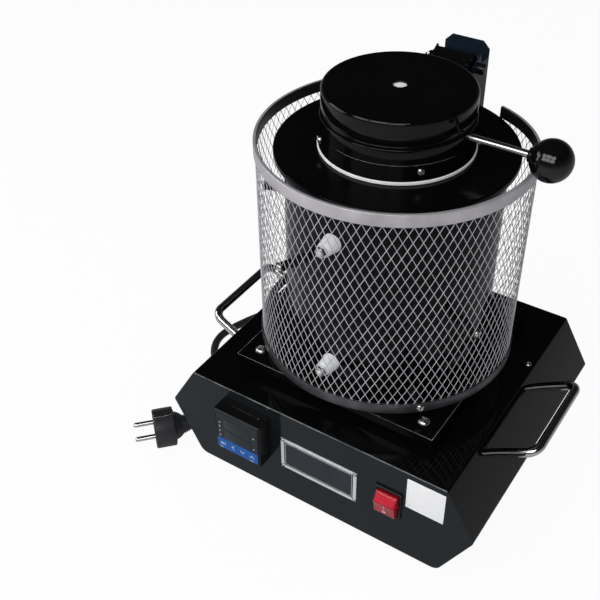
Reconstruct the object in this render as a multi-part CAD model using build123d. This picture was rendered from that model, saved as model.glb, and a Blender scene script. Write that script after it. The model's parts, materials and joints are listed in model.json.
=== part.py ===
from build123d import *
import os
from math import cos, degrees, hypot, pi, radians, sin, sqrt, tan

# Bench melting furnace, millimetres. Z is up from the surface it stands on, -Y is the panel with
# the controls, and the chamber's axis is the Z axis.

# ---------------------------------------------------------------- driving dimensions
# Case: a folded steel box whose ends are six-sided panels
case_depth = 247.4
case_height = 101.0
case_top_width = 250.0
case_waist_width = 304.0
case_bottom_width = 247.0
case_waist_height = 55.0
case_sheet = 1.2
case_bottom_corner = 10.0
case_waist_corner = 4.0
case_top_corner = 2.5
panel_flange = 12.0
sheet_fit = 0.1
lip_reach = 32.0
vent_width = 3.0
vent_height = 26.0
vent_pitch = 9.0
vent_count = 8
vent_centre_x = 40.0
vent_centre_height = 54.0

# Rubber feet
foot_height = 12.0
foot_radius = 10.0
foot_tip_radius = 8.5
foot_x = 98.0
foot_y = 100.0

# Small fasteners
small_shank = 1.5
small_head_radius = 2.9
small_head_height = 2.0
hole_clearance = 0.1
cover_screw_length = 6.0
cover_screw_inset = 5.0
cover_screw_y = 45.0
foot_shank = 2.0
foot_head_radius = 3.8
foot_head_height = 2.2
nut_height = 2.6
foot_counterbore = 4.0

# Carrying handles: bent round bar
handle_bar_radius = 4.0
handle_spacing = 94.0
handle_centre_y = 6.0
handle_reach = 30.0
handle_bend = 10.0
handle_screw_depth = 10.0

# Controls on the front panel
controller_size = 48.0
controller_left_x = -91.0
controller_bottom_height = 41.4
controller_bezel_depth = 17.4
controller_edge = 1.6
controller_barrel = 44.6
controller_barrel_depth = 58.0
controller_wall = 2.0
controller_recess = 3.4
controller_rim = 2.2
controller_face_sheet = 1.6
controller_face_sink = 0.3
key_width = 8.2
key_height = 8.0
key_pitch = 10.4
key_strip_centre = 8.6
key_proud = 0.25
key_gap = 0.3
key_thickness = 1.5
key_travel = 0.5
clamp_width = 3.4
clamp_depth = 8.0
switch_width = 25.0
switch_height = 30.1
switch_left_x = 62.3
switch_bottom_height = 42.7
switch_bezel = 2.2
switch_wall = 2.5
switch_body_depth = 20.0
rocker_gap = 0.3
rocker_half_height = 11.2
rocker_back_half_height = 8.6
rocker_top_proud = 1.6
rocker_ridge_proud = 7.4
rocker_ridge_height = 3.2
rocker_bottom_proud = 4.4
rocker_back_depth = 7.0
rocker_pivot_depth = 1.0
rocker_pin_radius = 1.5
rocker_pin_length = 0.9
rocker_pin_clearance = 0.05
rocker_throw = 14.0
plate_left_x = -31.8
plate_bottom_height = 36.0
plate_width = 76.2
plate_height = 35.8
plate_sheet = 0.8
plate_frame = 3.2
plate_field_sink = 0.3
label_left_x = 90.5
label_bottom_height = 61.0
label_size = 34.0
label_sheet = 0.3

# Platform plate under the drum
platform_width = 192.0
platform_sheet = 1.5
platform_lip = 8.0
platform_standoff = 14.1
platform_screw_x = 80.8
platform_shank = 2.5
platform_head_radius = 5.3
platform_head_height = 3.2
platform_nut_height = 4.0
platform_nut_radius = 4.6
standoff_radius = 6.0
wiring_hole_radius = 14.0

# Heater drum
drum_radius = 88.0
drum_sheet = 1.0
drum_height = 192.0
drum_flange = 14.0
disc_radius = 96.3
disc_sheet = 1.2
disc_rim = 5.0
disc_mouth_radius = 51.0
insulation_gap = 0.3
chamber_radius = 40.0
muffle_wall = 9.5
chamber_floor_sheet = 16.0
bottom_insulation = 16.0
coil_gap = 0.5
jacket_gap = 1.5

# Heating wire round the muffle
heater_wire = 3.0
heater_turns = 12
heater_low = 30.0
heater_top_gap = 42.0
terminal_angle = -92.5
terminal_root_radius = 8.0
terminal_tip_radius = 5.8
terminal_reach = 13.0
terminal_bolt_radius = 2.5
terminal_bolt_reach = 5.0
terminal_nut_radius = 4.6
terminal_nut_height = 3.6
terminal_block = 7.0

# Temperature probe
probe_angle = 150.0
probe_drop = 29.0
probe_radius = 2.5
probe_head_radius = 7.0
probe_head_length = 12.0

# Mouth of the chamber
gasket_radius = 62.0
gasket_height = 2.8
collar_radius = 61.3
collar_sheet = 1.5
collar_height = 12.6
mouth_gap = 0.3
collar_screw_count = 4
collar_screw_height = 8.0
collar_screw_length = 7.0

# Lid
lid_gap = 0.3
lid_height = 34.4
lid_radius = 59.4
lid_band_radius = 60.2
lid_band_height = 12.2
lid_groove_radius = 57.6
lid_groove_height = 3.6
lid_groove_slope = 1.2
lid_sheet = 1.4
lid_edge = 4.0
lid_sight_radius = 5.25
lid_fill_gap = 0.2
lid_rod_radius = 3.0
lid_rod_reach = 63.6
lid_rod_root = 8.0
lid_rod_height = 7.4
ball_radius = 16.0
ball_bite = 12.0

# Hinge
hinge_y = 95.7
hinge_rise = 13.2
hinge_bolt_radius = 3.0
hinge_clearance = 0.05
hinge_bolt_reach = 27.0
hinge_head_radius = 4.6
hinge_head_length = 7.5
hinge_nut_length = 4.5
column_width = 40.0
column_sheet = 1.5
column_rear_y = 118.0
column_depth = 19.5
column_ear_radius = 8.0
column_ear_drop = 14.0
column_ear_peak = 10.2
column_ear_shoulder = 1.2
stop_rise = 13.8
stop_corner = 6.0
arm_gap = 1.2
arm_sheet = 2.0
arm_rise = 10.0
arm_drop = 8.0
arm_barrel_radius = 6.0

# Guard of expanded sheet round the drum
guard_radius = 111.5
guard_lift = 8.8
guard_rise = 7.7
guard_top_band = 10.5
guard_bottom_band = 9.3
guard_band_sheet = 1.2
guard_mesh_sheet = 1.0
guard_left_end = -240.0
guard_right_end = 71.0
guard_right_shift = 20.0
guard_column_pitch = 20.4
guard_row_count = 5
guard_strand = 2.6

# Spacer tubes from the drum to the guard and to the hinge column
spacer_radius = 4.0
spacer_bore = 1.8
spacer_pad_radius = 8.6
front_spacer = (-113.4, 73.0)
left_spacer = (-165.0, 57.0)
low_spacers = ((-22.6, 75.9), (-205.0, 60.0))
band_spacer_angles = (-46.6, -166.0)
column_low_spacer = 45.0
column_high_spacer_drop = 22.0
spacer_screw_length = 10.0
spacer_head_radius = 3.4

# Electrics inside the case
relay_length = 58.0
relay_width = 45.0
relay_height = 28.0
relay_x = 55.0
relay_y = 20.0
sink_height = 6.0
block_length = 60.0
block_width = 16.0
block_height = 17.0
block_x = -60.0
block_y = 45.0

# Mains cord
cord_radius = 4.0
gland_x = -110.0
gland_height = 14.0
gland_hole_radius = 8.0
gland_thread_radius = 7.9
gland_collar_radius = 11.0
gland_collar_length = 5.0
gland_reach = 17.4
gland_dome_radius = 9.4
gland_nut_length = 5.0
relief_length = 20.0
relief_root_radius = 7.6
relief_tip_radius = 5.2
coil_mean_radius = 40.0
coil_turns = 3.75
coil_pitch = 8.8
coil_layer = 8.7
coil_centre_y = 243.0
coil_stub = 8.0
exit_run = 25.0
plug_run = 14.2
front_route = (
    (-132.5, -74.0, 15.5),
    (-133.5, -49.0, 9.0),
    (-149.0, -29.5, 4.0),
    (-174.0, -21.5, 4.0),
    (-200.0, -9.5, 4.0),
    (-217.0, 18.0, 4.0),
    (-212.0, 47.0, 4.0),
    (-192.0, 92.0, 4.0),
    (-168.0, 131.0, 4.0),
    (-141.0, 166.0, 4.0),
)
front_last_run = 37.5

# Plug
plug_face = (-176.0, -132.5)
plug_heading = 47.0
plug_radius = 19.0
plug_disc_length = 20.0
plug_tail_length = 17.0
plug_shoulder_radius = 14.0
plug_tail_radius = 6.2
plug_groove_depth = 2.2
plug_groove_width = 9.0
plug_clip_sheet = 0.8
plug_pin_radius = 2.4
plug_pin_length = 19.0
plug_pin_spacing = 19.0

# ---------------------------------------------------------------- places that follow from them
front_y = -case_depth / 2
rear_y = case_depth / 2
case_base = foot_height
case_top = case_base + case_height
waist_z = case_base + case_waist_height
floor_plate_top = case_base + 2 * case_sheet
platform_top = case_top + platform_standoff + platform_sheet
disc_top = platform_top + drum_height + disc_sheet
gasket_top = disc_top + gasket_height
collar_top = gasket_top + collar_height
lid_bottom = collar_top + lid_gap
lid_top = lid_bottom + lid_height
hinge_z = lid_bottom + hinge_rise
stop_top = hinge_z + stop_rise
column_inner = column_width / 2 - column_sheet
column_front_y = column_rear_y - column_depth
stop_face_y = column_rear_y - column_sheet
arm_half_width = column_inner - arm_gap
muffle_radius = chamber_radius + muffle_wall
muffle_bottom = platform_top + bottom_insulation + chamber_floor_sheet
wire_radius = heater_wire / 2
winding_radius = muffle_radius + coil_gap + wire_radius
jacket_bore = winding_radius + wire_radius + jacket_gap
jacket_radius = drum_radius - drum_sheet - insulation_gap
heater_low_z = platform_top + heater_low
heater_high_z = platform_top + drum_height - heater_top_gap
probe_z = platform_top + drum_height - probe_drop
guard_bottom = platform_top + guard_lift
guard_top = disc_top + guard_rise
guard_height = guard_top - guard_bottom
mesh_radius = guard_radius - guard_band_sheet - sheet_fit
cord_exit_y = rear_y + gland_reach
cord_start_y = cord_exit_y + relief_length
gland_z = case_base + gland_height
coil_swing = coil_turns * coil_pitch / 4
coil_centre_x = gland_x + coil_mean_radius + coil_swing

UP = (0, 0, 1)
ON_BASE = (Align.CENTER, Align.CENTER, Align.MIN)


# ---------------------------------------------------------------- shapes used more than once
def block(x0, x1, y0, y1, z0, z1):
    """A rectangular block between two corners."""
    middle = ((x0 + x1) / 2, (y0 + y1) / 2, (z0 + z1) / 2)
    return Pos(*middle) * Box(x1 - x0, y1 - y0, z1 - z0)


def bar(start, direction, radius, length, bore=0.0):
    """A round bar, or a tube where it has a bore, from start along direction."""
    solid = Cylinder(radius, length, align=ON_BASE)
    if bore > 0:
        solid -= Cylinder(bore, length, align=ON_BASE)
    return Plane(origin=start, z_dir=direction) * solid


def turned(points, start=(0, 0, 0), direction=UP):
    """A shape turned from (radius, height) points round a line from start along direction."""
    face = Plane.XZ * make_face(Polyline(*points, close=True))
    return Plane(origin=start, z_dir=direction) * revolve(face, Axis.Z, 360)


def ring(outer, inner, z0, z1):
    """A flat ring or a sleeve round the chamber's axis."""
    return bar((0, 0, z0), UP, outer, z1 - z0, inner)


def domed_screw(seat, direction, head_radius, head_height, shank, length):
    """A screw with a domed head on its seat and its shank pointing back along direction."""
    dome_radius = (head_radius**2 + head_height**2) / (2 * head_height)
    dome = Pos(0, 0, head_height - dome_radius) * Sphere(dome_radius)
    head = dome & Cylinder(head_radius + 1, head_height + 1, align=ON_BASE)
    screw = head + Pos(0, 0, -length) * Cylinder(shank, length, align=ON_BASE)
    return Plane(origin=seat, z_dir=direction) * screw


def hex_nut(seat, direction, radius, height, bore):
    """A hexagon nut from its seat along direction."""
    solid = extrude(RegularPolygon(radius, 6) - Circle(bore), amount=height)
    return Plane(origin=seat, z_dir=direction) * solid


def at_angle(angle, radius, z):
    """A point at an angle and a radius round the chamber's axis."""
    return (radius * cos(radians(angle)), radius * sin(radians(angle)), z)


def outward(angle):
    """The direction straight out from the chamber's axis at an angle."""
    return (cos(radians(angle)), sin(radians(angle)), 0)


def save(name, *solids):
    """Write one piece, or one group of like pieces, as parts/NAME.step."""
    shape = solids[0] if len(solids) == 1 else Compound(children=list(solids))
    export_step(shape, f"parts/{name}.step")


# ---------------------------------------------------------------- case
def case_outline(inset=0.0):
    """The six-sided outline of the case, in X and Z, drawn in by inset."""
    top = case_top_width / 2
    waist = case_waist_width / 2
    bottom = case_bottom_width / 2
    corners = [(-bottom, case_base), (bottom, case_base), (waist, waist_z)]
    corners += [(top, case_top), (-top, case_top), (-waist, waist_z)]
    outline = make_face(Polyline(*corners, close=True))
    radii = (case_bottom_corner, case_waist_corner, case_top_corner)
    for radius, height in zip(radii, (case_base, waist_z, case_top)):
        level = [v for v in outline.vertices() if abs(v.Y - height) < 0.01]
        outline = fillet(level, radius)
    if inset > 0:
        outline = offset(outline, -inset)
    return outline


def case_slice(sketch, y0, y1):
    """The sketch, in X and Z, made solid from y0 to y1."""
    plane = Plane(origin=(0, y1, 0), x_dir=(1, 0, 0), z_dir=(0, -1, 0))
    return extrude(plane * sketch, amount=y1 - y0)


def slope_point(share, side, upper=True):
    """A point on a sloping side's outer face, and the direction out of it."""
    low = (case_waist_width / 2, waist_z) if upper else (case_bottom_width / 2, case_base)
    high = (case_top_width / 2, case_top) if upper else (case_waist_width / 2, waist_z)
    run = (high[0] - low[0], high[1] - low[1])
    length = hypot(*run)
    point = (side * (low[0] + run[0] * share), low[1] + run[1] * share)
    return point, (side * run[1] / length, 0, -run[0] / length)


def panel_screw_places():
    """Seats of the screws that hold the end panels' flanges, on the lower slopes."""
    inset = case_sheet + panel_flange / 2
    places = []
    for side in (-1, 1):
        for y in (front_y + inset, rear_y - inset):
            (x, z), out = slope_point(0.5, side, upper=False)
            places.append(((x, y, z), out))
    return places


def top_screw_places():
    """Seats of the two screws in the cover's top."""
    x = case_top_width / 2 - cover_screw_inset
    return [((side * x, cover_screw_y, case_top), UP) for side in (-1, 1)]


def foot_places():
    """Centres of the four feet."""
    return [(sx * foot_x, sy * foot_y) for sx in (-1, 1) for sy in (-1, 1)]


def platform_screw_places():
    """Centres of the four screws through the platform plate."""
    return [(sx * platform_screw_x, sy * platform_screw_x) for sx in (-1, 1) for sy in (-1, 1)]


def handle_leg_places(side):
    """Where a handle's two legs meet the case, and the direction out of it."""
    (x, z), out = slope_point(0.48, side)
    ys = (handle_centre_y - handle_spacing / 2, handle_centre_y + handle_spacing / 2)
    return [(x, y, z) for y in ys], out


def column_foot_places():
    """Seats of the two screws in the hinge column's foot."""
    y = (column_front_y + stop_face_y) / 2
    return [(side * column_inner / 2, y, case_top) for side in (-1, 1)]


def end_panel(y0, inward):
    """A six-sided end panel with a flange folded back inside the cover."""
    y1 = y0 + inward * case_sheet
    low, high = sorted((y1, y1 + inward * panel_flange))
    plate = case_slice(case_outline(), min(y0, y1), max(y0, y1))
    inset = case_sheet + sheet_fit
    fold = case_slice(case_outline(inset) - case_outline(inset + case_sheet), low, high)
    reach = case_waist_width
    fold -= block(-reach, reach, low - 1, high + 1, 0, case_base + case_bottom_corner)
    panel = plate + fold
    for seat, out in panel_screw_places():
        panel -= bar(seat, [-c for c in out], small_shank + hole_clearance, cover_screw_length)
    return panel


def front_panel():
    """The front panel with its openings for the controller and the switch."""
    panel = end_panel(front_y, 1)
    x0, x1, z0, z1 = controller_square(controller_barrel / 2 + sheet_fit)
    panel -= block(x0, x1, front_y - 1, front_y + case_sheet + 1, z0, z1)
    x0, x1, z0, z1 = switch_square(sheet_fit - switch_wall / 2)
    panel -= block(x0, x1, front_y - 1, front_y + case_sheet + 1, z0, z1)
    return panel


def rear_panel():
    """The rear panel with its vents and the hole for the cord's gland."""
    panel = end_panel(rear_y, -1)
    panel -= bar((gland_x, rear_y + 1, gland_z), (0, -1, 0), gland_hole_radius, case_sheet + 2)
    z = case_base + vent_centre_height
    slots = []
    for side in (-1, 1):
        for index in range(vent_count):
            x = side * vent_centre_x + (index - (vent_count - 1) / 2) * vent_pitch
            place = Plane(origin=(x, rear_y + 1, z), x_dir=UP, z_dir=(0, -1, 0))
            slot = place * SlotOverall(vent_height, vent_width)
            slots.append(extrude(slot, amount=case_sheet + 2))
    return panel - slots


def case_cover():
    """The sheet folded over the top and both sides, with a lip under each side."""
    ends = (front_y + case_sheet, rear_y - case_sheet)
    cover = case_slice(case_outline() - case_outline(case_sheet), *ends)
    lip_end = case_bottom_width / 2 - lip_reach
    cover -= block(-lip_end, lip_end, front_y, rear_y, case_base - 1, case_base + case_sheet + 1)
    for seat, out in panel_screw_places() + top_screw_places():
        cover -= bar(seat, [-c for c in out], small_shank + hole_clearance, cover_screw_length)
    for x, y in platform_screw_places():
        cover -= bar((x, y, case_top + 1), (0, 0, -1), platform_shank + hole_clearance, case_sheet + 2)
    cover -= bar((0, 0, case_top + 1), (0, 0, -1), wiring_hole_radius, case_sheet + 2)
    for x, y in foot_places():
        cover -= bar((x, y, case_base - 1), UP, foot_shank + hole_clearance, case_sheet + 2)
    for seat in column_foot_places():
        cover -= bar(seat, (0, 0, -1), small_shank + hole_clearance, case_sheet + 1)
    for side in (-1, 1):
        seats, out = handle_leg_places(side)
        for seat in seats:
            cover -= bar(seat, [-c for c in out], foot_shank + hole_clearance, case_sheet + 1)
    return cover


def case_floor():
    """The flat plate that closes the case and lies on the cover's lips."""
    x = case_bottom_width / 2 - case_bottom_corner
    y = rear_y - case_sheet - sheet_fit
    plate = block(-x, x, -y, y, case_base + case_sheet, floor_plate_top)
    for fx, fy in foot_places():
        plate -= bar((fx, fy, case_base), UP, foot_shank + hole_clearance, 2 * case_sheet + 1)
    return plate


def foot(x, y):
    """A tapered rubber foot with a counterbore for its screw."""
    points = [(foot_shank + hole_clearance, foot_height), (foot_radius, foot_height), (foot_tip_radius, 0)]
    points += [(foot_head_radius + 0.4, 0), (foot_head_radius + 0.4, foot_counterbore)]
    points += [(foot_shank + hole_clearance, foot_counterbore)]
    return turned(points, (x, y, 0))


def foot_fastener(x, y):
    """A foot's screw, head down in the counterbore, and its nut on the floor plate."""
    length = floor_plate_top - foot_counterbore + nut_height
    screw = domed_screw(
        (x, y, foot_counterbore), (0, 0, -1), foot_head_radius, foot_head_height, foot_shank, length
    )
    nut = hex_nut((x, y, floor_plate_top), UP, foot_head_radius, nut_height, foot_shank + 0.02)
    return [screw, nut]


def handle(side):
    """A chrome bar bent to a U, standing square on the sloping side."""
    seats, out = handle_leg_places(side)
    tips = [tuple(c + o * handle_reach for c, o in zip(seat, out)) for seat in seats]
    path = FilletPolyline(seats[0], tips[0], tips[1], seats[1], radius=handle_bend)
    solid = sweep(Plane(origin=seats[0], z_dir=out) * Circle(handle_bar_radius), path=path)
    for seat in seats:
        solid -= bar(seat, out, foot_shank + hole_clearance, handle_screw_depth)
    return solid


def handle_fasteners(side):
    """The screws that hold a handle from inside the case."""
    seats, out = handle_leg_places(side)
    inward = tuple(-c for c in out)
    screws = []
    for seat in seats:
        inside = tuple(c + i * case_sheet for c, i in zip(seat, inward))
        length = case_sheet + handle_screw_depth - 1
        screws.append(domed_screw(inside, inward, foot_head_radius, foot_head_height, foot_shank, length))
    return screws


def make_case():
    """The case, its feet, handles and fasteners."""
    save("case_front_panel", front_panel())
    save("case_rear_panel", rear_panel())
    save("case_cover", case_cover())
    save("case_floor_plate", case_floor())
    screws = [
        domed_screw(seat, out, small_head_radius, small_head_height, small_shank, cover_screw_length)
        for seat, out in panel_screw_places() + top_screw_places()
    ]
    save("case_screws", *screws)
    save("rubber_feet", *[foot(x, y) for x, y in foot_places()])
    save("foot_screws", *[piece for x, y in foot_places() for piece in foot_fastener(x, y)])
    save("handle_right", handle(1))
    save("handle_left", handle(-1))
    save("handle_screws", *handle_fasteners(1), *handle_fasteners(-1))


# ---------------------------------------------------------------- controls
def controller_square(half):
    """The controller's square, drawn half its width out from its centre."""
    x = controller_left_x + controller_size / 2
    z = case_base + controller_bottom_height + controller_size / 2
    return x - half, x + half, z - half, z + half


def switch_square(grow):
    """The switch's bezel outline grown by an amount."""
    x = switch_left_x
    z = case_base + switch_bottom_height
    return x - grow, x + switch_width + grow, z - grow, z + switch_height + grow


def key_centres():
    """Centres of the four keys, from left to right."""
    x0, x1, z0, z1 = controller_square(controller_size / 2)
    middle = (x0 + x1) / 2
    return [(middle + (index - 1.5) * key_pitch, z0 + key_strip_centre) for index in range(4)]


def controller_housing():
    """The square bezel in front of the panel and the barrel behind it, open at the back."""
    face = front_y - controller_bezel_depth
    x0, x1, z0, z1 = controller_square(controller_size / 2)
    bezel = block(x0, x1, face, front_y, z0, z1)
    front_edges = bezel.faces().sort_by(Axis.Y)[0].edges()
    bezel = chamfer(front_edges, controller_edge)
    x0, x1, z0, z1 = controller_square(controller_barrel / 2)
    barrel = block(x0, x1, front_y, front_y + controller_barrel_depth, z0, z1)
    x0, x1, z0, z1 = controller_square(controller_barrel / 2 - controller_wall)
    hollow = block(x0, x1, face + 2 * controller_recess, front_y + controller_barrel_depth, z0, z1)
    x0, x1, z0, z1 = controller_square(controller_size / 2 - controller_rim)
    recess = block(x0, x1, face - 1, face + controller_recess, z0, z1)
    return bezel + barrel - hollow - recess


def controller_face():
    """The display plate in the bezel, with an opening for each key."""
    y0 = front_y - controller_bezel_depth + controller_face_sink
    x0, x1, z0, z1 = controller_square(controller_size / 2 - controller_rim - sheet_fit)
    plate = block(x0, x1, y0, y0 + controller_face_sheet, z0, z1)
    for x, z in key_centres():
        w = key_width / 2 + key_gap
        h = key_height / 2 + key_gap
        plate -= block(x - w, x + w, y0 - 1, y0 + controller_face_sheet + 1, z - h, z + h)
    return plate


def key(x, z):
    """A key that stands a little proud of the display plate."""
    y0 = front_y - controller_bezel_depth + controller_face_sink - key_proud
    w = key_width / 2
    h = key_height / 2
    cap = block(x - w, x + w, y0, y0 + key_thickness, z - h, z + h)
    return chamfer(cap.faces().sort_by(Axis.Y)[0].edges(), key_proud / 2)


def controller_clamp():
    """The frame that grips the controller's barrel behind the panel."""
    y0 = front_y + case_sheet
    x0, x1, z0, z1 = controller_square(controller_barrel / 2 + clamp_width)
    frame = block(x0, x1, y0, y0 + clamp_depth, z0, z1)
    x0, x1, z0, z1 = controller_square(controller_barrel / 2 + sheet_fit)
    return frame - block(x0, x1, y0 - 1, y0 + clamp_depth + 1, z0, z1)


def rocker_pivot():
    """The height and depth of the rocker's pivot line, and its middle in X."""
    x = switch_left_x + switch_width / 2
    z = case_base + switch_bottom_height + switch_height / 2
    return x, front_y - switch_bezel + rocker_pivot_depth, z


def switch_housing():
    """The switch's bezel and body, open to the front for the rocker."""
    x0, x1, z0, z1 = switch_square(0)
    bezel = block(x0, x1, front_y - switch_bezel, front_y, z0, z1)
    bezel = chamfer(bezel.faces().sort_by(Axis.Y)[0].edges(), switch_bezel * 0.3)
    x0, x1, z0, z1 = switch_square(-switch_wall / 2)
    body = block(x0, x1, front_y, front_y + switch_body_depth, z0, z1)
    x0, x1, z0, z1 = switch_square(-switch_wall)
    well = block(x0, x1, front_y - switch_bezel - 1, front_y + switch_body_depth - switch_wall, z0, z1)
    x, y, z = rocker_pivot()
    reach = (x1 - x0) / 2 + rocker_pin_length
    bore = bar((x - reach, y, z), (1, 0, 0), rocker_pin_radius + rocker_pin_clearance, 2 * reach)
    return bezel + body - well - bore


def switch_rocker():
    """The two-faced rocker on its pivot, as it stands when it is off."""
    x, y, z = rocker_pivot()
    x0, x1, z0, z1 = switch_square(-switch_wall)
    half_width = (x1 - x0) / 2 - rocker_gap
    face = front_y - switch_bezel
    points = [
        (face - rocker_top_proud, z + rocker_half_height),
        (face - rocker_ridge_proud, z + rocker_ridge_height),
        (face - rocker_bottom_proud, z - rocker_half_height),
        (face + rocker_back_depth, z - rocker_back_half_height),
        (face + rocker_back_depth, z + rocker_back_half_height),
    ]
    profile = Plane(origin=(x - half_width, 0, 0), x_dir=(0, 1, 0), z_dir=(1, 0, 0)) * make_face(
        Polyline(*points, close=True)
    )
    rocker = extrude(profile, amount=2 * half_width)
    reach = half_width + rocker_pin_length
    return rocker + bar((x - reach, y, z), (1, 0, 0), rocker_pin_radius, 2 * reach)


def nameplate():
    """The plain metal plate with a raised frame round a bare field."""
    x1 = plate_left_x + plate_width
    z0 = case_base + plate_bottom_height
    z1 = z0 + plate_height
    y0 = front_y - plate_sheet
    plate = block(plate_left_x, x1, y0, front_y, z0, z1)
    field = block(
        plate_left_x + plate_frame,
        x1 - plate_frame,
        y0 - 1,
        y0 + plate_field_sink,
        z0 + plate_frame,
        z1 - plate_frame,
    )
    return plate - field


def make_controls():
    """The controller, the switch and the plates on the front panel."""
    save("controller_housing", controller_housing())
    save("controller_face", controller_face())
    names = ("key_set", "key_shift", "key_down", "key_up")
    for name, (x, z) in zip(names, key_centres()):
        save(name, key(x, z))
    save("controller_clamp", controller_clamp())
    save("switch_housing", switch_housing())
    save("switch_rocker", switch_rocker())
    save("nameplate", nameplate())
    x = label_left_x
    z = case_base + label_bottom_height
    label = block(x, x + label_size, front_y - label_sheet, front_y, z, z + label_size)
    save("blank_label", label)


# ---------------------------------------------------------------- platform
def platform_plate():
    """The square tray, lips down, that carries the drum."""
    half = platform_width / 2
    inner = half - platform_sheet
    low = platform_top - platform_lip
    tray = block(-half, half, -half, half, low, platform_top)
    tray -= block(-inner, inner, -inner, inner, low - 1, platform_top - platform_sheet)
    tray -= bar((0, 0, low), UP, wiring_hole_radius, platform_lip + 1)
    for x, y in platform_screw_places():
        tray -= bar((x, y, low), UP, platform_shank + hole_clearance, platform_lip + 1)
    return tray


def make_platform():
    """The platform plate, its standoffs and its screws with their nuts."""
    save("platform_plate", platform_plate())
    places = platform_screw_places()
    bore = platform_shank + hole_clearance
    posts = [bar((x, y, case_top), UP, standoff_radius, platform_standoff, bore) for x, y in places]
    save("platform_standoffs", *posts)
    grip = platform_top - case_top + case_sheet + platform_nut_height
    fasteners = []
    for x, y in places:
        screw = domed_screw(
            (x, y, platform_top), UP, platform_head_radius, platform_head_height, platform_shank, grip
        )
        seat = (x, y, case_top - case_sheet)
        bore = platform_shank + 0.02
        nut = hex_nut(seat, (0, 0, -1), platform_nut_radius, platform_nut_height, bore)
        fasteners += [screw, nut]
    save("platform_screws", *fasteners)


# ---------------------------------------------------------------- wound tubes
def biarc(start, end, start_way, end_way):
    """Two arcs that leave start along start_way and reach end along end_way."""
    chord = end - start
    ways = start_way + end_way
    spread = 2 * (1 - start_way.dot(end_way))
    along = chord.dot(ways)
    if spread > 1e-9:
        reach = (-along + sqrt(along * along + spread * chord.dot(chord))) / spread
    else:
        reach = chord.dot(chord) / (2 * along)
    middle = (start + end + (start_way - end_way) * reach) * 0.5
    first = TangentArc(start, middle, tangent=start_way)
    second = TangentArc(middle, end, tangent=first % 1)
    return [first, second]


def wound_tube(points, ways, radius, stub):
    """One tube through points along ways, with a straight stub at each end."""
    points = [Vector(*point) for point in points]
    ways = [Vector(*way).normalized() for way in ways]
    edges = [Line(points[0] - ways[0] * stub, points[0])]
    for index in range(len(points) - 1):
        edges += biarc(points[index], points[index + 1], ways[index], ways[index + 1])
    edges.append(Line(points[-1], points[-1] + ways[-1] * stub))
    path = Wire([edge.edge() for edge in edges])
    section = Plane(origin=path @ 0, z_dir=path % 0) * Circle(radius)
    return sweep(section, path=path), path


def least_self_gap(path, radius, skip, samples=900):
    """The least gap between stretches of a tube that are further apart along it than skip."""
    step = path.length / samples
    spots = [path @ (index / samples) for index in range(samples + 1)]
    apart = int(skip / step) + 1
    nearest = min(
        (spots[i] - spots[j]).length
        for i in range(0, samples + 1, 2)
        for j in range(i + apart, samples + 1, 2)
    )
    return nearest - 2 * radius


# ---------------------------------------------------------------- drum and heater
def heater_winding():
    """The heating wire, one unbroken helix between the two terminal blocks."""
    lead = terminal_block / 2 + heater_wire
    count = 8 * heater_turns
    rise = heater_high_z - heater_low_z
    points = []
    ways = []
    for index in range(count + 1):
        share = index / count
        out = outward(terminal_angle + 360 * heater_turns * share)
        level = 0 if index in (0, count) else rise / (heater_turns * 2 * pi)
        ahead = lead * ((index == 0) - (index == count))
        x = winding_radius * out[0] - ahead * out[1]
        y = winding_radius * out[1] + ahead * out[0]
        points.append((x, y, heater_low_z + rise * share))
        ways.append((-out[1] * winding_radius, out[0] * winding_radius, level))
    return wound_tube(points, ways, wire_radius, heater_wire)


def terminal_bush(z):
    """A ceramic bush through the drum's wall at height z."""
    root = jacket_bore + insulation_gap
    tip = drum_radius + terminal_reach
    bore = terminal_bolt_radius + 0.1
    profile = [(bore, root), (terminal_root_radius, root), (terminal_root_radius, drum_radius)]
    profile += [(terminal_tip_radius, tip), (bore, tip)]
    return turned(profile, (0, 0, z), outward(terminal_angle))


def terminal_metal(z):
    """The block on the heating wire with its bolt, and the nut outside the bush."""
    out = outward(terminal_angle)
    start = at_angle(terminal_angle, winding_radius, z)
    seat_radius = drum_radius + terminal_reach
    place = Plane(origin=start, x_dir=(-out[1], out[0], 0), z_dir=out)
    bolt = place * Box(terminal_block, terminal_block, heater_wire + 0.6)
    bolt += bar(start, out, terminal_bolt_radius, seat_radius + terminal_bolt_reach - winding_radius)
    seat = at_angle(terminal_angle, seat_radius, z)
    nut = hex_nut(seat, out, terminal_nut_radius, terminal_nut_height, terminal_bolt_radius + 0.02)
    return bolt, nut


def spacer_places():
    """Each guard spacer's start on the chamber's axis, its direction, and its head's radius."""
    places = []
    for (high_angle, drop), (low_angle, height) in zip((front_spacer, left_spacer), low_spacers):
        high_start = (0, 0, platform_top + drum_height - drop)
        places.append((high_start, outward(high_angle), mesh_radius))
        places.append(((0, 0, platform_top + height), outward(low_angle), mesh_radius))
    for angle in band_spacer_angles:
        places.append(((0, 0, guard_bottom + guard_bottom_band / 2), outward(angle), guard_radius))
    return places


def column_spacer_places():
    """Each column spacer's start on the chamber's axis, its direction, and its head's distance."""
    heights = (column_low_spacer, drum_height - column_high_spacer_drop)
    return [((0, 0, platform_top + height), (0, 1, 0), column_rear_y) for height in heights]


def probe_passage():
    """The hole that the temperature probe runs through."""
    return bar((0, 0, probe_z), outward(probe_angle), probe_radius + 0.2, 2 * drum_radius)


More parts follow.
